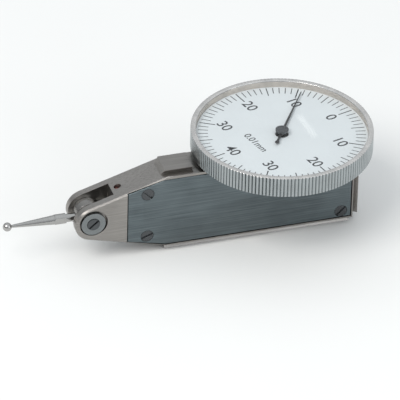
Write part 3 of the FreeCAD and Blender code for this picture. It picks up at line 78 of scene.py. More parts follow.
class Graph:
    """A short way to write the nodes of a material or a world, and their links."""

    def __init__(self, owner: bpy.types.ID, ending: str = "OutputMaterial") -> None:
        """Starts an empty tree.

        Args:
            owner: The material or world that has the tree.
            ending: The type of its last node, without the ShaderNode prefix.
        """
        owner.use_nodes = True
        self.tree = owner.node_tree
        self.tree.nodes.clear()
        self.output = self.tree.nodes.new("ShaderNode" + ending)

    def node(self, kind: str, **inputs: object) -> bpy.types.Node:
        """Adds a node.

        Args:
            kind: The node's type without its ShaderNode prefix.
            inputs: A socket's name with underscores for spaces, and its value or the socket to link.

        Returns:
            The new node.
        """
        node = self.tree.nodes.new("ShaderNode" + kind)
        for name, value in inputs.items():
            self.feed(node.inputs[name.replace("_", " ")], value)
        return node

    def feed(self, socket: bpy.types.NodeSocket, value: object) -> None:
        """Links a socket to another, or sets its value.

        Args:
            socket: The input socket.
            value: The output socket to link it to, or the value.
        """
        if isinstance(value, bpy.types.NodeSocket):
            self.tree.links.new(value, socket)
        else:
            socket.default_value = value

    def maths(self, operation: str, first: object, second: object = 0.0) -> bpy.types.NodeSocket:
        """One operation on two numbers or sockets.

        Args:
            operation: The operation's name.
            first: The first number or socket.
            second: The second one, where the operation has two.

        Returns:
            The socket that gives the result.
        """
        node = self.tree.nodes.new("ShaderNodeMath")
        node.operation = operation
        self.feed(node.inputs[0], first)
        self.feed(node.inputs[1], second)
        return node.outputs[0]

    def ranged(self, value: object, low: float, high: float, start: float = 0.0,
               stop: float = 1.0) -> bpy.types.NodeSocket:
        """A value carried from one range to another, and held within it.

        Args:
            value: The socket to read.
            low: The result at the start of the value's range.
            high: The result at its end.
            start: Where the value's range starts.
            stop: Where it ends.

        Returns:
            The socket that gives the result.
        """
        node = self.node("MapRange", Value=value)
        for name, number in (("From Min", start), ("From Max", stop), ("To Min", low), ("To Max", high)):
            node.inputs[name].default_value = number
        return node.outputs["Result"]

    def mixed(self, factor: object, first: object, second: object) -> bpy.types.NodeSocket:
        """A colour between two others.

        Args:
            factor: 0 for the first colour, 1 for the second.
            first: The first colour or socket.
            second: The second one.

        Returns:
            The socket that gives the colour.
        """
        node = self.tree.nodes.new("ShaderNodeMix")
        node.data_type = "RGBA"
        self.feed(node.inputs["Factor"], factor)
        self.feed(node.inputs["A"], first)
        self.feed(node.inputs["B"], second)
        return node.outputs["Result"]

    def place(self) -> bpy.types.NodeSocket:
        """The place on the object, in metres."""
        return self.node("TexCoord").outputs["Object"]

    def noise(self, vector: bpy.types.NodeSocket, scale: float, detail: float = 3.0) -> bpy.types.NodeSocket:
        """Cloudy noise from 0 to 1.

        Args:
            vector: The place at which it is read.
            scale: How many clouds there are to a unit.
            detail: How many finer layers it has.

        Returns:
            The socket that gives the noise.
        """
        return self.node("TexNoise", Vector=vector, Scale=scale, Detail=detail).outputs[0]

    def distance(self, first: object, second: object) -> bpy.types.NodeSocket:
        """The root of the sum of two squares.

        Args:
            first: One side of the right angle.
            second: The other side.

        Returns:
            The socket that gives the distance.
        """
        squares = [self.maths("MULTIPLY", side, side) for side in (first, second)]
        return self.maths("SQRT", self.maths("ADD", *squares))

    def finish(self, shader: bpy.types.Node) -> None:
        """Ends the tree in that shader."""
        self.tree.links.new(shader.outputs[0], self.output.inputs["Surface"])


def shades(colour: Colour, spread: float) -> tuple[tuple[float, ...], tuple[float, ...]]:
    """A darker and a lighter shade of a colour.

    Args:
        colour: The colour between them.
        spread: The share by which each differs from it.

    Returns:
        The two shades, each with an alpha of 1.
    """
    dark = tuple(channel * (1 - spread) for channel in colour) + (1.0,)
    light = tuple(min(channel * (1 + spread), 1.0) for channel in colour) + (1.0,)
    return dark, light


@dataclass(frozen=True)
class Metal:
    """A bare metal with its working marks."""

    name: str
    colour: Colour
    roughness: float
    grain: Grain = Grain.EVEN
    streak: float = 0.25
    mark_width: float = 0.18 * MM
    mark_length: float = 14 * MM
    mark_share: float = 0.75
    cloud_size: float = 6 * MM
    unevenness: float = 0.2
    relief: float = 0.0012 * MM

    def stretched(self, graph: Graph) -> bpy.types.NodeSocket:
        """Coordinates in which one unit is a mark's width across the grain and its length along it.

        For turned pieces they are the radius about the axis and the place along it, so that the marks are
        rings, and the way round the axis counts for nothing.

        Args:
            graph: The material's graph.

        Returns:
            The socket that gives the coordinates.
        """
        across = 1 / self.mark_width
        along = 1 / self.mark_length
        if self.grain in (Grain.ALONG, Grain.EVEN):
            lengthwise = along if self.grain is Grain.ALONG else across
            return graph.node("Mapping", Vector=graph.place(), Scale=(lengthwise, across, across)).outputs[0]
        x, y, z = graph.node("SeparateXYZ", Vector=graph.place()).outputs
        if self.grain is Grain.TURNED:
            first, second, run = x, y, z
        else:
            pivot = Places.pivot()
            moved_x = graph.maths("SUBTRACT", x, pivot.x)
            moved_z = graph.maths("SUBTRACT", z, pivot.z)
            first, second, run = (moved_x, moved_z, y) if self.grain is Grain.PIVOT else (y, moved_z, x)
        radius = graph.maths("MULTIPLY", graph.distance(first, second), across)
        run = graph.maths("MULTIPLY", run, across)
        return graph.node("CombineXYZ", X=radius, Y=run).outputs[0]

    def build(self) -> bpy.types.Material:
        """Makes the material: streaked colour, uneven roughness and a fine relief.

        Returns:
            The new material.
        """
        material = bpy.data.materials.new(self.name)
        graph = Graph(material)
        marks = graph.noise(self.stretched(graph), 1.0, 4.0)
        clouds = graph.noise(graph.place(), 1 / self.cloud_size, 2.0)
        both = graph.maths("ADD", graph.maths("MULTIPLY", marks, self.mark_share),
                           graph.maths("MULTIPLY", clouds, 1 - self.mark_share))
        colour = graph.mixed(graph.ranged(both, 0.0, 1.0, *NOISE_BAND), *shades(self.colour, self.streak))
        rough = graph.ranged(marks, self.roughness * (1 - self.unevenness),
                             min(self.roughness * (1 + self.unevenness), 1.0), *NOISE_BAND)
        bump = graph.node("Bump", Height=marks, Strength=1.0, Distance=self.relief)
        shader = graph.node("BsdfPrincipled", Base_Color=colour, Roughness=rough, Metallic=1.0,
                            Normal=bump.outputs[0])
        graph.finish(shader)
        return material


@dataclass(frozen=True)
class KnurledSilver:
    """The bezel's finish: a painted highlight on the top, a duller knurled wall with painted shade in its
    grooves, and a pale painted reflection of the dial on the wall inside the opening.
    """

    outer: float
    opening: float
    top: float
    depth: float
    name: str = "bezel_silver"
    # Painted highlight: the top ring is coloured lighter than the wall, standing in for the light falling on
    # it.
    bright: Colour = (0.74, 0.72, 0.70)
    wall: Colour = (0.40, 0.43, 0.44)
    # Painted shade: the bottoms of the knurl's grooves are coloured darker, standing in for the shade in
    # them.
    groove: Colour = (0.13, 0.15, 0.155)
    # Painted reflection: the wall inside the opening is coloured pale cream, standing in for the dial
    # reflected in it.
    inner: Colour = (0.70, 0.64, 0.585)
    dirt: Colour = (0.2, 0.21, 0.21)
    dirt_share: float = 0.25
    dirt_size: float = 2.5 * MM
    dirt_band: tuple[float, float] = (0.35, 0.7)
    land_band: tuple[float, float] = (0.8, 0.12)
    # Radial band just outside the opening over which the painted reflection of the dial fades out.
    lining_band: tuple[float, float] = (0.02 * MM, 0.06 * MM)
    mark_width: float = 0.1 * MM
    relief: float = 0.001 * MM
    roughness: tuple[float, float] = (0.18, 0.27)
    lining_roughness: float = 0.3
    edge: float = 0.12 * MM

    def build(self) -> bpy.types.Material:
        """Makes the material.

        The radius from the dial axis tells land from groove, and the grooves get painted shade; it also
        finds the wall inside the opening, which gets a pale painted reflection of the dial. The height finds
        the top, which gets a painted highlight, and noise adds dull patches and fine rings.

        Returns:
            The new material.
        """
        material = bpy.data.materials.new(self.name)
        graph = Graph(material)
        x, y, z = graph.node("SeparateXYZ", Vector=graph.place()).outputs
        radius = graph.distance(x, y)
        rings = graph.node("CombineXYZ", X=graph.maths("MULTIPLY", radius, 1 / self.mark_width),
                           Y=graph.maths("MULTIPLY", z, 1 / self.mark_width)).outputs[0]
        marks = graph.noise(rings, 1.0)
        patches = graph.noise(graph.place(), 1 / self.dirt_size)
        # Painted shade: the grooves take the darker groove colour, and the lands keep the wall's.
        land = graph.ranged(radius, 0.0, 1.0, *(self.outer - self.depth * share for share in self.land_band))
        skin = graph.mixed(land, self.groove + (1.0,), self.wall + (1.0,))
        # Painted highlight: the top takes the brighter colour.
        painted_top_highlight = graph.ranged(z, 0.0, 1.0, self.top - self.edge, self.top - self.edge * 0.3)
        skin = graph.mixed(painted_top_highlight, skin, self.bright + (1.0,))
        # Painted reflection of the dial on the wall inside the opening, below the top edge.
        within = graph.ranged(radius, 1.0, 0.0, *(self.opening + gap for gap in self.lining_band))
        below = graph.ranged(z, 1.0, 0.0, self.top - self.edge * 1.6, self.top - self.edge)
        painted_reflection_mask = graph.maths("MULTIPLY", within, below)
        skin = graph.mixed(painted_reflection_mask, skin, self.inner + (1.0,))
        dull = graph.ranged(patches, 0.0, self.dirt_share, *self.dirt_band)
        skin = graph.mixed(dull, skin, self.dirt + (1.0,))
        rough = graph.maths("ADD", graph.ranged(marks, *self.roughness, *NOISE_BAND),
                            graph.maths("MULTIPLY", painted_reflection_mask, self.lining_roughness))
        bump = graph.node("Bump", Height=marks, Strength=1.0, Distance=self.relief)
        shader = graph.node("BsdfPrincipled", Base_Color=skin, Roughness=rough, Metallic=1.0,
                            Normal=bump.outputs[0])
        graph.finish(shader)
        return material


@dataclass(frozen=True)
class Coating:
    """An enamel, print, lacquer, paint or rubber, with a faint unevenness."""

    name: str
    colour: Colour
    roughness: float
    mottle: float = 0.04
    mottle_size: float = 1.5 * MM
    fine_size: float = 0.12 * MM
    unevenness: float = 0.15
    relief: float = 0.0005 * MM
    coat: float = 0.0
    coat_roughness: float = 0.08

    def build(self) -> bpy.types.Material:
        """Makes the material: clouded colour, finely uneven roughness and relief, and a clear coat.

        Returns:
            The new material.
        """
        material = bpy.data.materials.new(self.name)
        graph = Graph(material)
        clouds = graph.noise(graph.place(), 1 / self.mottle_size, 4.0)
        fine = graph.noise(graph.place(), 1 / self.fine_size, 2.0)
        colour = graph.mixed(graph.ranged(clouds, 0.0, 1.0, *NOISE_BAND), *shades(self.colour, self.mottle))
        rough = graph.ranged(fine, self.roughness * (1 - self.unevenness),
                             min(self.roughness * (1 + self.unevenness), 1.0), *NOISE_BAND)
        bump = graph.node("Bump", Height=fine, Strength=1.0, Distance=self.relief)
        shader = graph.node("BsdfPrincipled", Base_Color=colour, Roughness=rough, Normal=bump.outputs[0])
        shader.inputs["Coat Weight"].default_value = self.coat
        shader.inputs["Coat Roughness"].default_value = self.coat_roughness
        graph.finish(shader)
        return material


@dataclass(frozen=True)
class ClearCrystal:
    """A clear crystal: its surface reflects more at a grazing angle, and the rest passes through unbent."""

    name: str = "crystal_clear"
    ior: float = 1.28
    grazing_share: float = 0.7
    steepness: float = 5.0
    roughness: float = 0.03
    haze_size: float = 4 * MM

    def build(self) -> bpy.types.Material:
        """Makes the material, whose opacity is the share of light that the surface reflects.

        Returns:
            The new material.
        """
        material = bpy.data.materials.new(self.name)
        graph = Graph(material)
        facing = graph.node("LayerWeight", Blend=0.5).outputs["Facing"]
        straight = ((self.ior - 1) / (self.ior + 1)) ** 2
        share = graph.ranged(graph.maths("POWER", facing, self.steepness), straight, self.grazing_share)
        haze = graph.noise(graph.place(), 1 / self.haze_size, 2.0)
        rough = graph.ranged(haze, self.roughness * 0.8, self.roughness * 1.3, *NOISE_BAND)
        shader = graph.node("BsdfPrincipled", Roughness=rough, Metallic=1.0, Alpha=share)
        shader.inputs["Base Color"].default_value = (1, 1, 1, 1)
        graph.finish(shader)
        return material


class Places:
    """Places that several pieces share, read from the frame's nodes at rest."""

    @staticmethod
    def middle(node: str) -> Vector:
        """The middle of a node's box.

        Args:
            node: The node's name.

        Returns:
            The place halfway between its lowest and highest corners.
        """
        low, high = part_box(node)
        return (Vector(low) + Vector(high)) / 2

    @staticmethod
    def pivot() -> Vector:
        """The stylus pivot: the middle of its axle."""
        return Places.middle("pivot_axle")

    @staticmethod
    def low(node: str) -> Vector:
        """The lowest corner of a node's box."""
        return Vector(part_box(node)[0])

    @staticmethod
    def high(node: str) -> Vector:
        """The highest corner of a node's box."""
        return Vector(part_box(node)[1])


def show(name: str, data: bpy.types.ID) -> bpy.types.Object:
    """Puts a mesh, curve, lamp or camera into the scene.

    Args:
        name: The new object's name.
        data: What it shows.

    Returns:
        The new object, at the origin.
    """
    shown = bpy.data.objects.new(name, data)
    bpy.context.scene.collection.objects.link(shown)
    return shown


def mesh_object(name: str, points: np.ndarray, faces: np.ndarray, material: bpy.types.Material,
                smooth: bool = True) -> bpy.types.Object:
    """Puts points and faces of four corners into a new object.

    Args:
        name: The piece's name.
        points: One row of x, y, z for each point.
        faces: One row of four point numbers for each face.
        material: The piece's finish.
        smooth: Whether its faces are shaded smoothly, up to a crease of 35 degrees.

    Returns:
        The new object, in the scene.
    """
    mesh = bpy.data.meshes.new(name)
    mesh.from_pydata(points.tolist(), [], faces.tolist())
    mesh.update()
    if smooth:
        mesh.polygons.foreach_set("use_smooth", np.ones(len(mesh.polygons), dtype=bool))
        mesh.set_sharp_from_angle(angle=SMOOTH_CREASE)
    mesh.materials.append(material)
    return show(name, mesh)


def grid_faces(rows: int, columns: int, close_rows: bool = False, close_columns: bool = False) -> np.ndarray:
    """The faces between the points of a grid, which are numbered along each row in turn.

    A face joins a point, the next one down its column, that point's neighbour in the row, and the first
    point's neighbour.

    Args:
        rows: How many rows of points there are.
        columns: How many points are in a row.
        close_rows: Whether the last row joins the first.
        close_columns: Whether each row's last point joins its first.

    Returns:
        One row of four point numbers for each face.
    """
    row_steps = np.arange(rows if close_rows else rows - 1)
    column_steps = np.arange(columns if close_columns else columns - 1)
    i, j = np.meshgrid(row_steps, column_steps, indexing="ij")
    after_i = (i + 1) % rows
    after_j = (j + 1) % columns
    corners = (i * columns + j, after_i * columns + j, after_i * columns + after_j, i * columns + after_j)
    return np.stack([corner.ravel() for corner in corners], axis=1)


def rounded(section: list[tuple[float, float]], size: float, steps: int = 3) -> np.ndarray:
    """A closed section with each corner rounded off.

    A corner becomes a quadratic curve: its two ends lie the size back along the corner's sides, or 40% of
    a short side, and the corner itself is the curve's control point.

    Args:
        section: The corners, in order.
        size: How far back along its sides a corner's rounding starts.
        steps: Points along each rounding, less one.

    Returns:
        The points of the rounded section, one row of two numbers each.
    """
    corners = np.array(section)
    before = np.roll(corners, 1, axis=0) - corners
    after = np.roll(corners, -1, axis=0) - corners
    back = np.linalg.norm(before, axis=1, keepdims=True)
    ahead = np.linalg.norm(after, axis=1, keepdims=True)
    first = corners + before / back * np.minimum(size, back * 0.4)
    last = corners + after / ahead * np.minimum(size, ahead * 0.4)
    t = np.linspace(0, 1, steps + 1)[None, :, None]
    curve = first[:, None] * (1 - t) ** 2 + corners[:, None] * 2 * t * (1 - t) + last[:, None] * t ** 2
    return curve.reshape(-1, 2)


def softened(node: str, width: float, material: bpy.types.Material, body: str, crease: float = 28.0,
             flatness: float = 0.5) -> bpy.types.Object:
    """A copy of a node with its edges broken, which stands for the node.

    The node's loose triangles are joined and its flat faces made whole, then a bevel of that width rounds
    each edge sharper than the crease.

    Args:
        node: The node that the piece stands for.
        width: The bevel's width.
        material: The piece's finish.
        body: The body that carries it.
        crease: The least angle in degrees between two faces whose edge is broken.
        flatness: The most degrees between two faces that are made one.

    Returns:
        The new piece.
    """
    source = FRAME["nodes"][node]
    mesh = source.data.copy()
    mesh.name = node + "_softened"
    work = bmesh.new()
    work.from_mesh(mesh)
    bmesh.ops.remove_doubles(work, verts=work.verts, dist=MERGE_DISTANCE)
    bmesh.ops.dissolve_limit(work, angle_limit=math.radians(flatness), verts=work.verts, edges=work.edges)
    work.to_mesh(mesh)
    work.free()
    mesh.materials.clear()
    mesh.materials.append(material)
    mesh.polygons.foreach_set("use_smooth", np.ones(len(mesh.polygons), dtype=bool))
    mesh.set_sharp_from_angle(angle=math.radians(crease))
    piece = show(node + "_softened", mesh)
    bevel = piece.modifiers.new("broken_edges", "BEVEL")
    bevel.width = width
    bevel.segments = 2
    bevel.limit_method = "ANGLE"
    bevel.angle_limit = math.radians(crease)
    bevel.harden_normals = True
    bevel.use_clamp_overlap = True
    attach(piece, body)
    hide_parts(node)
    return piece


def dress(material: bpy.types.Material, *nodes: str) -> None:
    """Gives nodes of the frame a finish.

    Args:
        material: The finish.
        nodes: The nodes' names.
    """
    for node in nodes:
        source = FRAME["nodes"][node]
        for slot in source.material_slots:
            slot.material = material


@dataclass
class Body:
    """The long flat body: its housing, cover, screws and pivot bearings."""

    edge: float = 0.1 * MM
    screw_edge: float = 0.06 * MM
    drop_radius: float = 0.74 * MM
    drop_rise: float = 0.25 * MM
    drop_lift: float = 0.02 * MM
    drop_foot: float = 0.01 * MM
    drop_wave: float = 0.04
    drop_lobes: int = 3
    housing: Metal = Metal("housing_steel", (0.30, 0.285, 0.27), 0.34, Grain.ALONG, 0.22)
    cover: Metal = Metal("cover_steel", (0.13, 0.155, 0.165), 0.36, Grain.ALONG, 0.35, 0.22 * MM)
    blued: Metal = Metal("blued_steel", (0.095, 0.10, 0.105), 0.28, Grain.EVEN, 0.2)
    bright: Metal = Metal("bright_steel", (0.21, 0.225, 0.23), 0.22, Grain.PIVOT, 0.12)
    lacquer: Coating = Coating("seal_lacquer", (0.11, 0.018, 0.012), 0.2, 0.2, 0.4 * MM, coat=0.6)
    pieces: list[bpy.types.Object] = field(default_factory=list)

    def build(self) -> list[bpy.types.Object]:
        """Builds the body's pieces.

        Returns:
            The new pieces.
        """
        housing = self.housing.build()
        blued = self.blued.build()
        bright = self.bright.build()
        self.pieces.append(softened("body_housing", self.edge, housing, "body"))
        self.pieces.append(softened("side_cover", self.edge, self.cover.build(), "body"))
        for number in range(1, 5):
            self.pieces.append(softened("cover_screw_%d" % number, self.screw_edge, blued, "body"))
        for side in ("front", "rear"):
            self.pieces.append(softened(side + "_bearing_disc", self.screw_edge, bright, "body"))
            dress(blued, side + "_pivot_screw")
        self.pieces.append(self.seal_drop())
        dress(blued, "nose_grub_screw")
        dress(bright, "upper_stop_pin", "lower_stop_pin")
        return self.pieces

    def seal_drop(self) -> bpy.types.Object:
        """A drop of lacquer over the screw in the nose.

        The drop is a shallow dome: its height falls with the square of the distance from its middle, and a
        slight wave runs round its edge.

        Returns:
            The new piece.
        """
        middle = Places.middle("nose_grub_screw")
        top = Places.high("nose_grub_screw").z
        around, rings = 32, 7
        turn = np.linspace(0, 2 * np.pi, around, endpoint=False)
        innermost = 0.02
        share = np.linspace(innermost, 1.0, rings)
        wave = 1 - self.drop_wave * (1 + np.sin(self.drop_lobes * turn))
        radius = np.outer(share, wave) * self.drop_radius
        dome = top + self.drop_rise * (1 - share[:, None] ** 2) + self.drop_lift
        height = np.broadcast_to(dome, radius.shape)
        upper = np.stack([middle.x + radius * np.cos(turn), middle.y + radius * np.sin(turn), height],
                         axis=-1)
        lower = upper[::-1].copy()
        lower[..., 2] = top + self.drop_foot
        points = np.concatenate([upper, lower]).reshape(-1, 3)
        faces = grid_faces(2 * rings, around, close_columns=True)
        piece = mesh_object("seal_drop", points, faces, self.lacquer.build())
        close_poles(piece)
        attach(piece, "body")
        return piece


def close_poles(piece: bpy.types.Object) -> None:
    """Fills the open rings of a surface and turns all its faces outwards.

    Args:
        piece: The piece whose mesh is closed.
    """
    work = bmesh.new()
    work.from_mesh(piece.data)
    bmesh.ops.holes_fill(work, edges=[e for e in work.edges if e.is_boundary])
    bmesh.ops.recalc_face_normals(work, faces=work.faces)
    work.to_mesh(piece.data)
    work.free()


@dataclass
class Movement:
    """The stylus with its holder, and the lever and gears that carry its swing to the pointer."""

    edge: float = 0.08 * MM
    polished: Metal = Metal("polished_steel", (0.40, 0.395, 0.385), 0.13, Grain.STYLUS, 0.1, 0.09 * MM)
    holder: Metal = Metal("holder_steel", (0.27, 0.26, 0.25), 0.22, Grain.PIVOT, 0.12)
    ball: Metal = Metal("carbide_ball", (0.42, 0.41, 0.40), 0.08, Grain.EVEN, 0.05, 0.3 * MM)
    lever: Metal = Metal("lever_steel", (0.42, 0.42, 0.41), 0.3, Grain.ALONG, 0.15)
    brass: Metal = Metal("brass", (0.75, 0.56, 0.26), 0.25, Grain.EVEN, 0.12)
    bronze: Metal = Metal("bronze_washer", (0.55, 0.36, 0.2), 0.32, Grain.PIVOT, 0.15)
    spring: Metal = Metal("spring_steel", (0.28, 0.30, 0.36), 0.25, Grain.EVEN, 0.1)
    screw: Metal = Metal("movement_screw", (0.06, 0.08, 0.14), 0.25, Grain.EVEN, 0.15)
    pieces: list[bpy.types.Object] = field(default_factory=list)

    def build(self) -> list[bpy.types.Object]:
        """Builds the stylus and dresses the sealed pieces.

        Returns:
            The new pieces.
        """
        polished = self.polished.build()
        holder = self.holder.build()
        self.pieces.append(softened("stylus_shank", self.edge, polished, "stylus"))
        self.pieces.append(softened("stylus_holder", self.edge, holder, "stylus"))
        self.pieces.append(self.contact_ball())
        lever = self.lever.build()
        brass = self.brass.build()
        self.pieces.append(softened("lever_arm", self.edge, lever, "lever"))
        dress(polished, "pivot_axle", "pinion_arbor", "pointer_arbor", "sector_rivet_1", "sector_rivet_2")
        dress(self.bronze.build(), "clutch_washer")
        dress(brass, "sector_gear", "crown_gear", "arbor_rear_bush", "arbor_front_bush", "train_bridge",
              "pointer_bridge", "centre_bush", "hairspring_stud", "hairspring_collet")
        dress(self.spring.build(), "hairspring", "bezel_snap_ring")
        dress(self.screw.build(), "train_bridge_screw_1", "train_bridge_screw_2", "pointer_bridge_screw_1",
              "pointer_bridge_screw_2", "case_screw_1", "case_screw_2")
        return self.pieces

    def contact_ball(self) -> bpy.types.Object:
        """The ball at the stylus's tip.

        It is a cube's six faces, each a grid, with every point pushed out to the ball's radius, so that no
        faces crowd together at a pole.

        Returns:
            The new piece.
        """
        middle = np.array(Places.middle("contact_ball"))
        radius = (Places.high("contact_ball").z - Places.low("contact_ball").z) / 2
        count = 13
        line = np.tan(np.linspace(-np.pi / 4, np.pi / 4, count))
        u, v = np.meshgrid(line, line, indexing="ij")
        flat = np.stack([u, v, np.ones_like(u)], axis=-1)
        sides = [np.roll(flat, turn, axis=-1) for turn in range(3)]
        sides += [np.roll(flat * (-1, 1, -1), turn, axis=-1) for turn in range(3)]
        points = np.concatenate([side.reshape(-1, 3) for side in sides])
        points = points / np.linalg.norm(points, axis=1, keepdims=True) * radius + middle
        one = grid_faces(count, count)
        faces = np.concatenate([one + side * count * count for side in range(len(sides))])
        piece = mesh_object("ball_tip", points, faces, self.ball.build())
        weld(piece, 0.001 * MM)
        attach(piece, "stylus")
        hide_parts("contact_ball")
        return piece


def weld(piece: bpy.types.Object, distance: float) -> None:
    """Joins the points of a piece that lie together, and turns its faces outwards.

    Args:
        piece: The piece whose mesh is joined up.
        distance: How near each other two points are joined.
    """
    work = bmesh.new()
    work.from_mesh(piece.data)
    bmesh.ops.remove_doubles(work, verts=work.verts, dist=distance)
    bmesh.ops.recalc_face_normals(work, faces=work.faces)
    work.to_mesh(piece.data)
    work.free()


@dataclass
class Bezel:
    """The knurled bezel with its crystal, on the dial case."""

    grooves: int = 160
    groove_depth: float = 0.25 * MM
    land_share: float = 0.45
    points_per_groove: int = 6
    edge: float = 0.12 * MM
    wall: float = 1.2 * MM
    ledge: float = 0.6 * MM
    seat: float = 0.02 * MM
    rim_drop: float = 0.2 * MM
    case_gap: float = 0.15 * MM
    side_gap: float = 0.06 * MM
    case: Metal = Metal("case_silver", (0.42, 0.42, 0.42), 0.32, Grain.TURNED, 0.12)
    rubber: Coating = Coating("gasket_black", (0.03, 0.03, 0.03), 0.7)
    pieces: list[bpy.types.Object] = field(default_factory=list)

    def build(self) -> list[bpy.types.Object]:
        """Builds the bezel and dresses the case, the crystal and its gasket.

        Returns:
            The new pieces.
        """
        self.pieces.append(self.ring())
        self.pieces.append(softened("dial_case", self.edge, self.case.build(), "body"))
        dress(ClearCrystal().build(), "crystal")
        dress(self.rubber.build(), "crystal_gasket")
        return self.pieces

    def ring(self) -> bpy.types.Object:
        """The knurled ring.

        Its section is a closed, rounded outline of radius against height, carried round the dial axis. On
        the outer wall the radius is less by the groove depth times a wave that is 0 on a land and rises to
        1 at the bottom of a groove; the wave fades out over the rounded top and bottom edges.

        Returns:
            The new piece.
        """
        low, high = Places.low("bezel").z, Places.high("bezel").z
        outer = Places.high("bezel").x
        opening = outer - self.wall
        dial_bottom = Places.low("dial_plate").z
        case_top = Places.high("dial_case").z + self.case_gap
        rim = Places.high("crystal_gasket").z - self.rim_drop
        section = [
            (outer, low), (outer, high), (opening, high), (opening, rim), (opening + self.seat, rim),
            (opening + self.seat, dial_bottom), (opening - self.ledge, dial_bottom),
            (opening - self.ledge, case_top), (opening + self.side_gap, case_top),
            (opening + self.side_gap, low),
        ]
        profile = rounded(section, self.edge)
        around = self.grooves * self.points_per_groove
        turn = np.arange(around) * 2 * np.pi / around
        phase = (np.arange(around) % self.points_per_groove) / self.points_per_groove
        inside = np.clip((phase - self.land_share) / (1 - self.land_share), 0, 1)
        wave = np.where(phase < self.land_share, 0.0, 1 - np.abs(2 * inside - 1))
        radius, height = profile[:, 0], profile[:, 1]
        on_wall = np.clip((radius - (outer - self.edge)) / self.edge, 0, 1)
        reach = radius[None, :] - self.groove_depth * wave[:, None] * on_wall[None, :]
        points = np.stack([reach * np.cos(turn)[:, None], reach * np.sin(turn)[:, None],
                           np.broadcast_to(height, reach.shape)], axis=-1)
        faces = grid_faces(around, len(profile), close_rows=True, close_columns=True)
        silver = KnurledSilver(outer, opening, high, self.groove_depth)
        piece = mesh_object("bezel_ring", points.reshape(-1, 3), faces, silver.build())
        weld(piece, 0.0005 * MM)
        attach(piece, "bezel")
        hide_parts("bezel")
        return piece


@dataclass
class Dial:
    """The dial's printed scale, its numbers and the pointer."""

    divisions: int = 80
    zero: float = math.radians(15.78)
    tick_outer: float = 18.39 * MM
    tick_lengths: tuple[float, float, float] = (2.2 * MM, 3.0 * MM, 3.5 * MM)
    tick_widths: Colour = (0.19 * MM, 0.22 * MM, 0.26 * MM)
    number_radius: float = 12.86 * MM
    number_height: float = 2.6 * MM
    unit_radius: float = 6.85 * MM
    unit_height: float = 1.7 * MM
    print_rise: float = 0.012 * MM
    ink_spread: float = 0.009
    figure_share: float = 0.72
    enamel: Coating = Coating("dial_enamel", (0.60, 0.64, 0.655), 0.45, 0.015, 6 * MM)
    ink: Coating = Coating("dial_ink", (0.022, 0.024, 0.028), 0.55, 0.1)
    black: Coating = Coating("pointer_black", (0.012, 0.012, 0.013), 0.45, 0.1)
    cap: Metal = Metal("cap_grey", (0.10, 0.105, 0.11), 0.3, Grain.TURNED, 0.15)
    pieces: list[bpy.types.Object] = field(default_factory=list)

    def build(self) -> list[bpy.types.Object]:
        """Prints the scale and dresses the dial and the pointer.

        Returns:
            The new pieces.
        """
        ink = self.ink.build()
        dress(self.enamel.build(), "dial_plate")
        dress(self.black.build(), "pointer")
        dress(self.cap.build(), "pointer_hub")
        self.pieces.append(self.ticks(ink))
        for step in range(0, self.divisions, 10):
            value = min(step, self.divisions - step)
            angle = self.zero + 2 * math.pi * step / self.divisions
            self.pieces.append(self.text("number_%02d" % step, str(value), self.number_radius, angle,
                                         self.number_height, ink))
        self.pieces.append(self.text("unit_text", "0.01mm", self.unit_radius, self.zero + math.pi,
                                     self.unit_height, ink))
        return self.pieces

    def ticks(self, ink: bpy.types.Material) -> bpy.types.Object:
        """The scale: a thin block for each division, longer at each fifth and tenth.

        A block's corners are its two ends along the radius, its two sides across it, and its foot and top.

        Args:
            ink: The print's finish.

        Returns:
            The new piece.
        """
        step = np.arange(self.divisions)
        rank = np.where(step % 10 == 0, 2, np.where(step % 5 == 0, 1, 0))
        length = np.array(self.tick_lengths)[rank]
        half = np.array(self.tick_widths)[rank] / 2
        turn = self.zero + 2 * np.pi * step / self.divisions
        out = np.stack([np.cos(turn), np.sin(turn)], axis=1)
        side = np.stack([-np.sin(turn), np.cos(turn)], axis=1)
        face = Places.high("dial_plate").z
        points = []
        for height in (face, face + self.print_rise):
            for reach, way in ((self.tick_outer - length, -1), (self.tick_outer + 0 * length, -1),
                               (self.tick_outer + 0 * length, 1), (self.tick_outer - length, 1)):
                flat = out * reach[:, None] + side * (half * way)[:, None]
                points.append(np.column_stack([flat, np.full(len(step), height)]))
        corners = np.stack(points, axis=1).reshape(-1, 3)
        block = np.array([(3, 2, 1, 0), (4, 5, 6, 7), (0, 1, 5, 4), (1, 2, 6, 5), (2, 3, 7, 6),
                          (3, 0, 4, 7)])
        faces = (block[None] + 8 * step[:, None, None]).reshape(-1, 4)
        piece = mesh_object("dial_scale", corners, faces, ink, smooth=False)
        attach(piece, "bezel")
        return piece

    def text(self, name: str, words: str, radius: float, angle: float, height: float,
             ink: bpy.types.Material) -> bpy.types.Object:
        """A number or a word, upright when the scale's zero is at the top.

        Args:
            name: The piece's name.
            words: What it says.
            radius: How far its middle is from the dial's middle.
            angle: Its direction from there.
            height: The height of its figures.
            ink: The print's finish.

        Returns:
            The new piece.
        """
        curve = bpy.data.curves.new(name, "FONT")
        curve.body = words
        curve.size = height / self.figure_share
        curve.align_x = "CENTER"
        curve.align_y = "CENTER"
        curve.extrude = self.print_rise / 2
        curve.offset = self.ink_spread * height
        holder = show(name, curve)
        bpy.context.view_layer.update()
        mesh = bpy.data.meshes.new_from_object(holder.evaluated_get(bpy.context.evaluated_depsgraph_get()))
        bpy.data.objects.remove(holder)
        place = Vector((radius * math.cos(angle), radius * math.sin(angle),
                        Places.high("dial_plate").z + self.print_rise / 2))
        mesh.transform(Matrix.Translation(place) @ Matrix.Rotation(self.zero - math.pi / 2, 4, "Z"))
        mesh.materials.clear()
        mesh.materials.append(ink)
        piece = show(name, mesh)
        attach(piece, "bezel")
        return piece


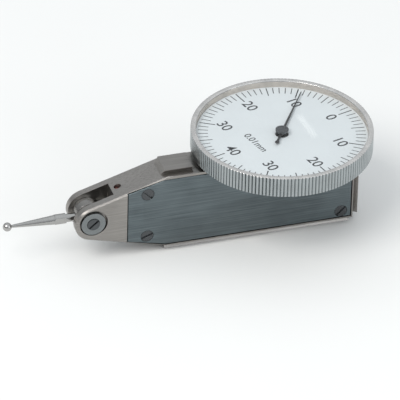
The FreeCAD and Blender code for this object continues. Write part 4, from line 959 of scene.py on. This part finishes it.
@dataclass(frozen=True)
class SoftBox:
    """A rectangular lamp: its place, width and height, power in watts, colour, and turn about its beam."""

    name: str
    place: tuple[float, float, float]
    size: tuple[float, float]
    power: float
    colour: Colour
    lean: float = 0.0

    def build(self, target: Vector) -> None:
        """Adds the lamp.

        Args:
            target: The place it faces.
        """
        light = bpy.data.lights.new(self.name, "AREA")
        light.shape = "RECTANGLE"
        light.size, light.size_y = self.size
        light.energy = self.power
        light.color = self.colour
        lamp = show(self.name, light)
        lamp.location = self.place
        aim = target - lamp.location
        turn = aim.to_track_quat("-Z", "Y").to_matrix() @ Matrix.Rotation(self.lean, 3, "Z")
        lamp.rotation_euler = turn.to_euler()


@dataclass
class Studio:
    """The floor, the light and the camera."""

    azimuth: float = math.radians(-18.0)
    elevation: float = math.radians(34.16)
    roll: float = math.radians(1.62)
    aim_right: float = -17.32 * MM
    aim_up: float = 5.02 * MM
    distance: float = 1205.7 * MM
    lens: float = 492.1
    sensor: float = 36.0
    floor_size: float = 3.0
    floor_gap: float = 0.02 * MM
    world_high: float = 1.0
    world_low: float = 0.28
    world_band: tuple[float, float] = (-0.1, 0.9)
    sky: Colour = (0.93, 0.97, 1.0)
    backdrop: Colour = (0.9, 0.9, 0.9)
    clip: tuple[float, float] = (0.05, 20.0)
    target: tuple[float, float, float] = (-0.02, 0.0, 0.012)
    key: SoftBox = SoftBox("key", (-0.55, -0.35, 0.75), (0.5, 0.5), 5.5, (1.0, 0.98, 0.95))
    fill: SoftBox = SoftBox("fill", (0.5, -0.7, 0.35), (0.5, 0.4), 1.6, (0.93, 0.97, 1.0))
    streak: SoftBox = SoftBox("streak", (0.2131, 0.5491, 0.4056), (0.006, 0.048), 0.0016, (1.0, 0.96, 0.92),
                              math.radians(22))

    def build(self) -> None:
        """Builds the floor, the world, the lamps and the camera."""
        self.floor()
        self.world()
        self.lamps()
        self.camera()

    def floor(self) -> None:
        """A plain pale floor under the base, which keeps the object's shadow."""
        mesh = bpy.data.meshes.new("floor")
        half = self.floor_size / 2
        mesh.from_pydata([(-half, -half, 0), (half, -half, 0), (half, half, 0), (-half, half, 0)], [],
                         [(0, 1, 2, 3)])
        floor = show("floor", mesh)
        floor.location.z = -self.floor_gap
        mesh.materials.append(Coating("floor_pale", (0.80, 0.80, 0.79), 0.9, 0.01, 80 * MM).build())

    def world(self) -> None:
        """A studio sky: brighter overhead than at the horizon, and pale behind the object."""
        world = bpy.data.worlds.new("studio")
        bpy.context.scene.world = world
        graph = Graph(world, "OutputWorld")
        height = graph.node("SeparateXYZ", Vector=graph.node("TexCoord").outputs["Generated"]).outputs[2]
        strength = graph.ranged(height, self.world_low, self.world_high, *self.world_band)
        sky = graph.node("Background", Color=self.sky + (1,), Strength=strength)
        plain = graph.node("Background", Color=self.backdrop + (1,))
        mix = graph.node("MixShader")
        links = (graph.node("LightPath").outputs["Is Camera Ray"], sky.outputs[0], plain.outputs[0])
        for socket, link in zip(mix.inputs, links):
            graph.feed(socket, link)
        graph.finish(mix)

    def lamps(self) -> None:
        """A key box high at the front left, a fill box at the front right, and a narrow strip behind.

        The strip's reflection is the streak on the crystal.
        """
        for box in (self.key, self.fill, self.streak):
            box.build(Vector(self.target))

    def camera(self) -> None:
        """A long lens, turned and rolled as the view needs."""
        a, e = self.azimuth, self.elevation
        right = Vector((math.cos(a), math.sin(a), 0))
        back = Vector((math.sin(a) * math.cos(e), -math.cos(a) * math.cos(e), math.sin(e)))
        turned = Matrix.Rotation(self.roll, 3, back)
        right = turned @ right
        up = back.cross(right)
        data = bpy.data.cameras.new("view")
        data.sensor_width = self.sensor
        data.lens = self.lens
        data.clip_start, data.clip_end = self.clip
        camera = show("view", data)
        place = right * self.aim_right + up * self.aim_up + back * self.distance
        turn = Matrix((right, up, back)).transposed().to_4x4()
        camera.matrix_world = Matrix.Translation(place) @ turn
        bpy.context.scene.camera = camera


def main() -> None:
    """Builds the indicator round its frame, then the studio."""
    logging.basicConfig(level=logging.INFO, format="%(name)s: %(message)s")
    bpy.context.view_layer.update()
    for part in (Body(), Movement(), Bezel(), Dial()):
        for piece in part.build():
            LOG.info("%s: %s, %d faces", type(part).__name__, piece.name, len(piece.data.polygons))
    Studio().build()
    bpy.context.scene.view_settings.view_transform = "Standard"


if __name__ == "__main__":
    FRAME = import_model()
    main()
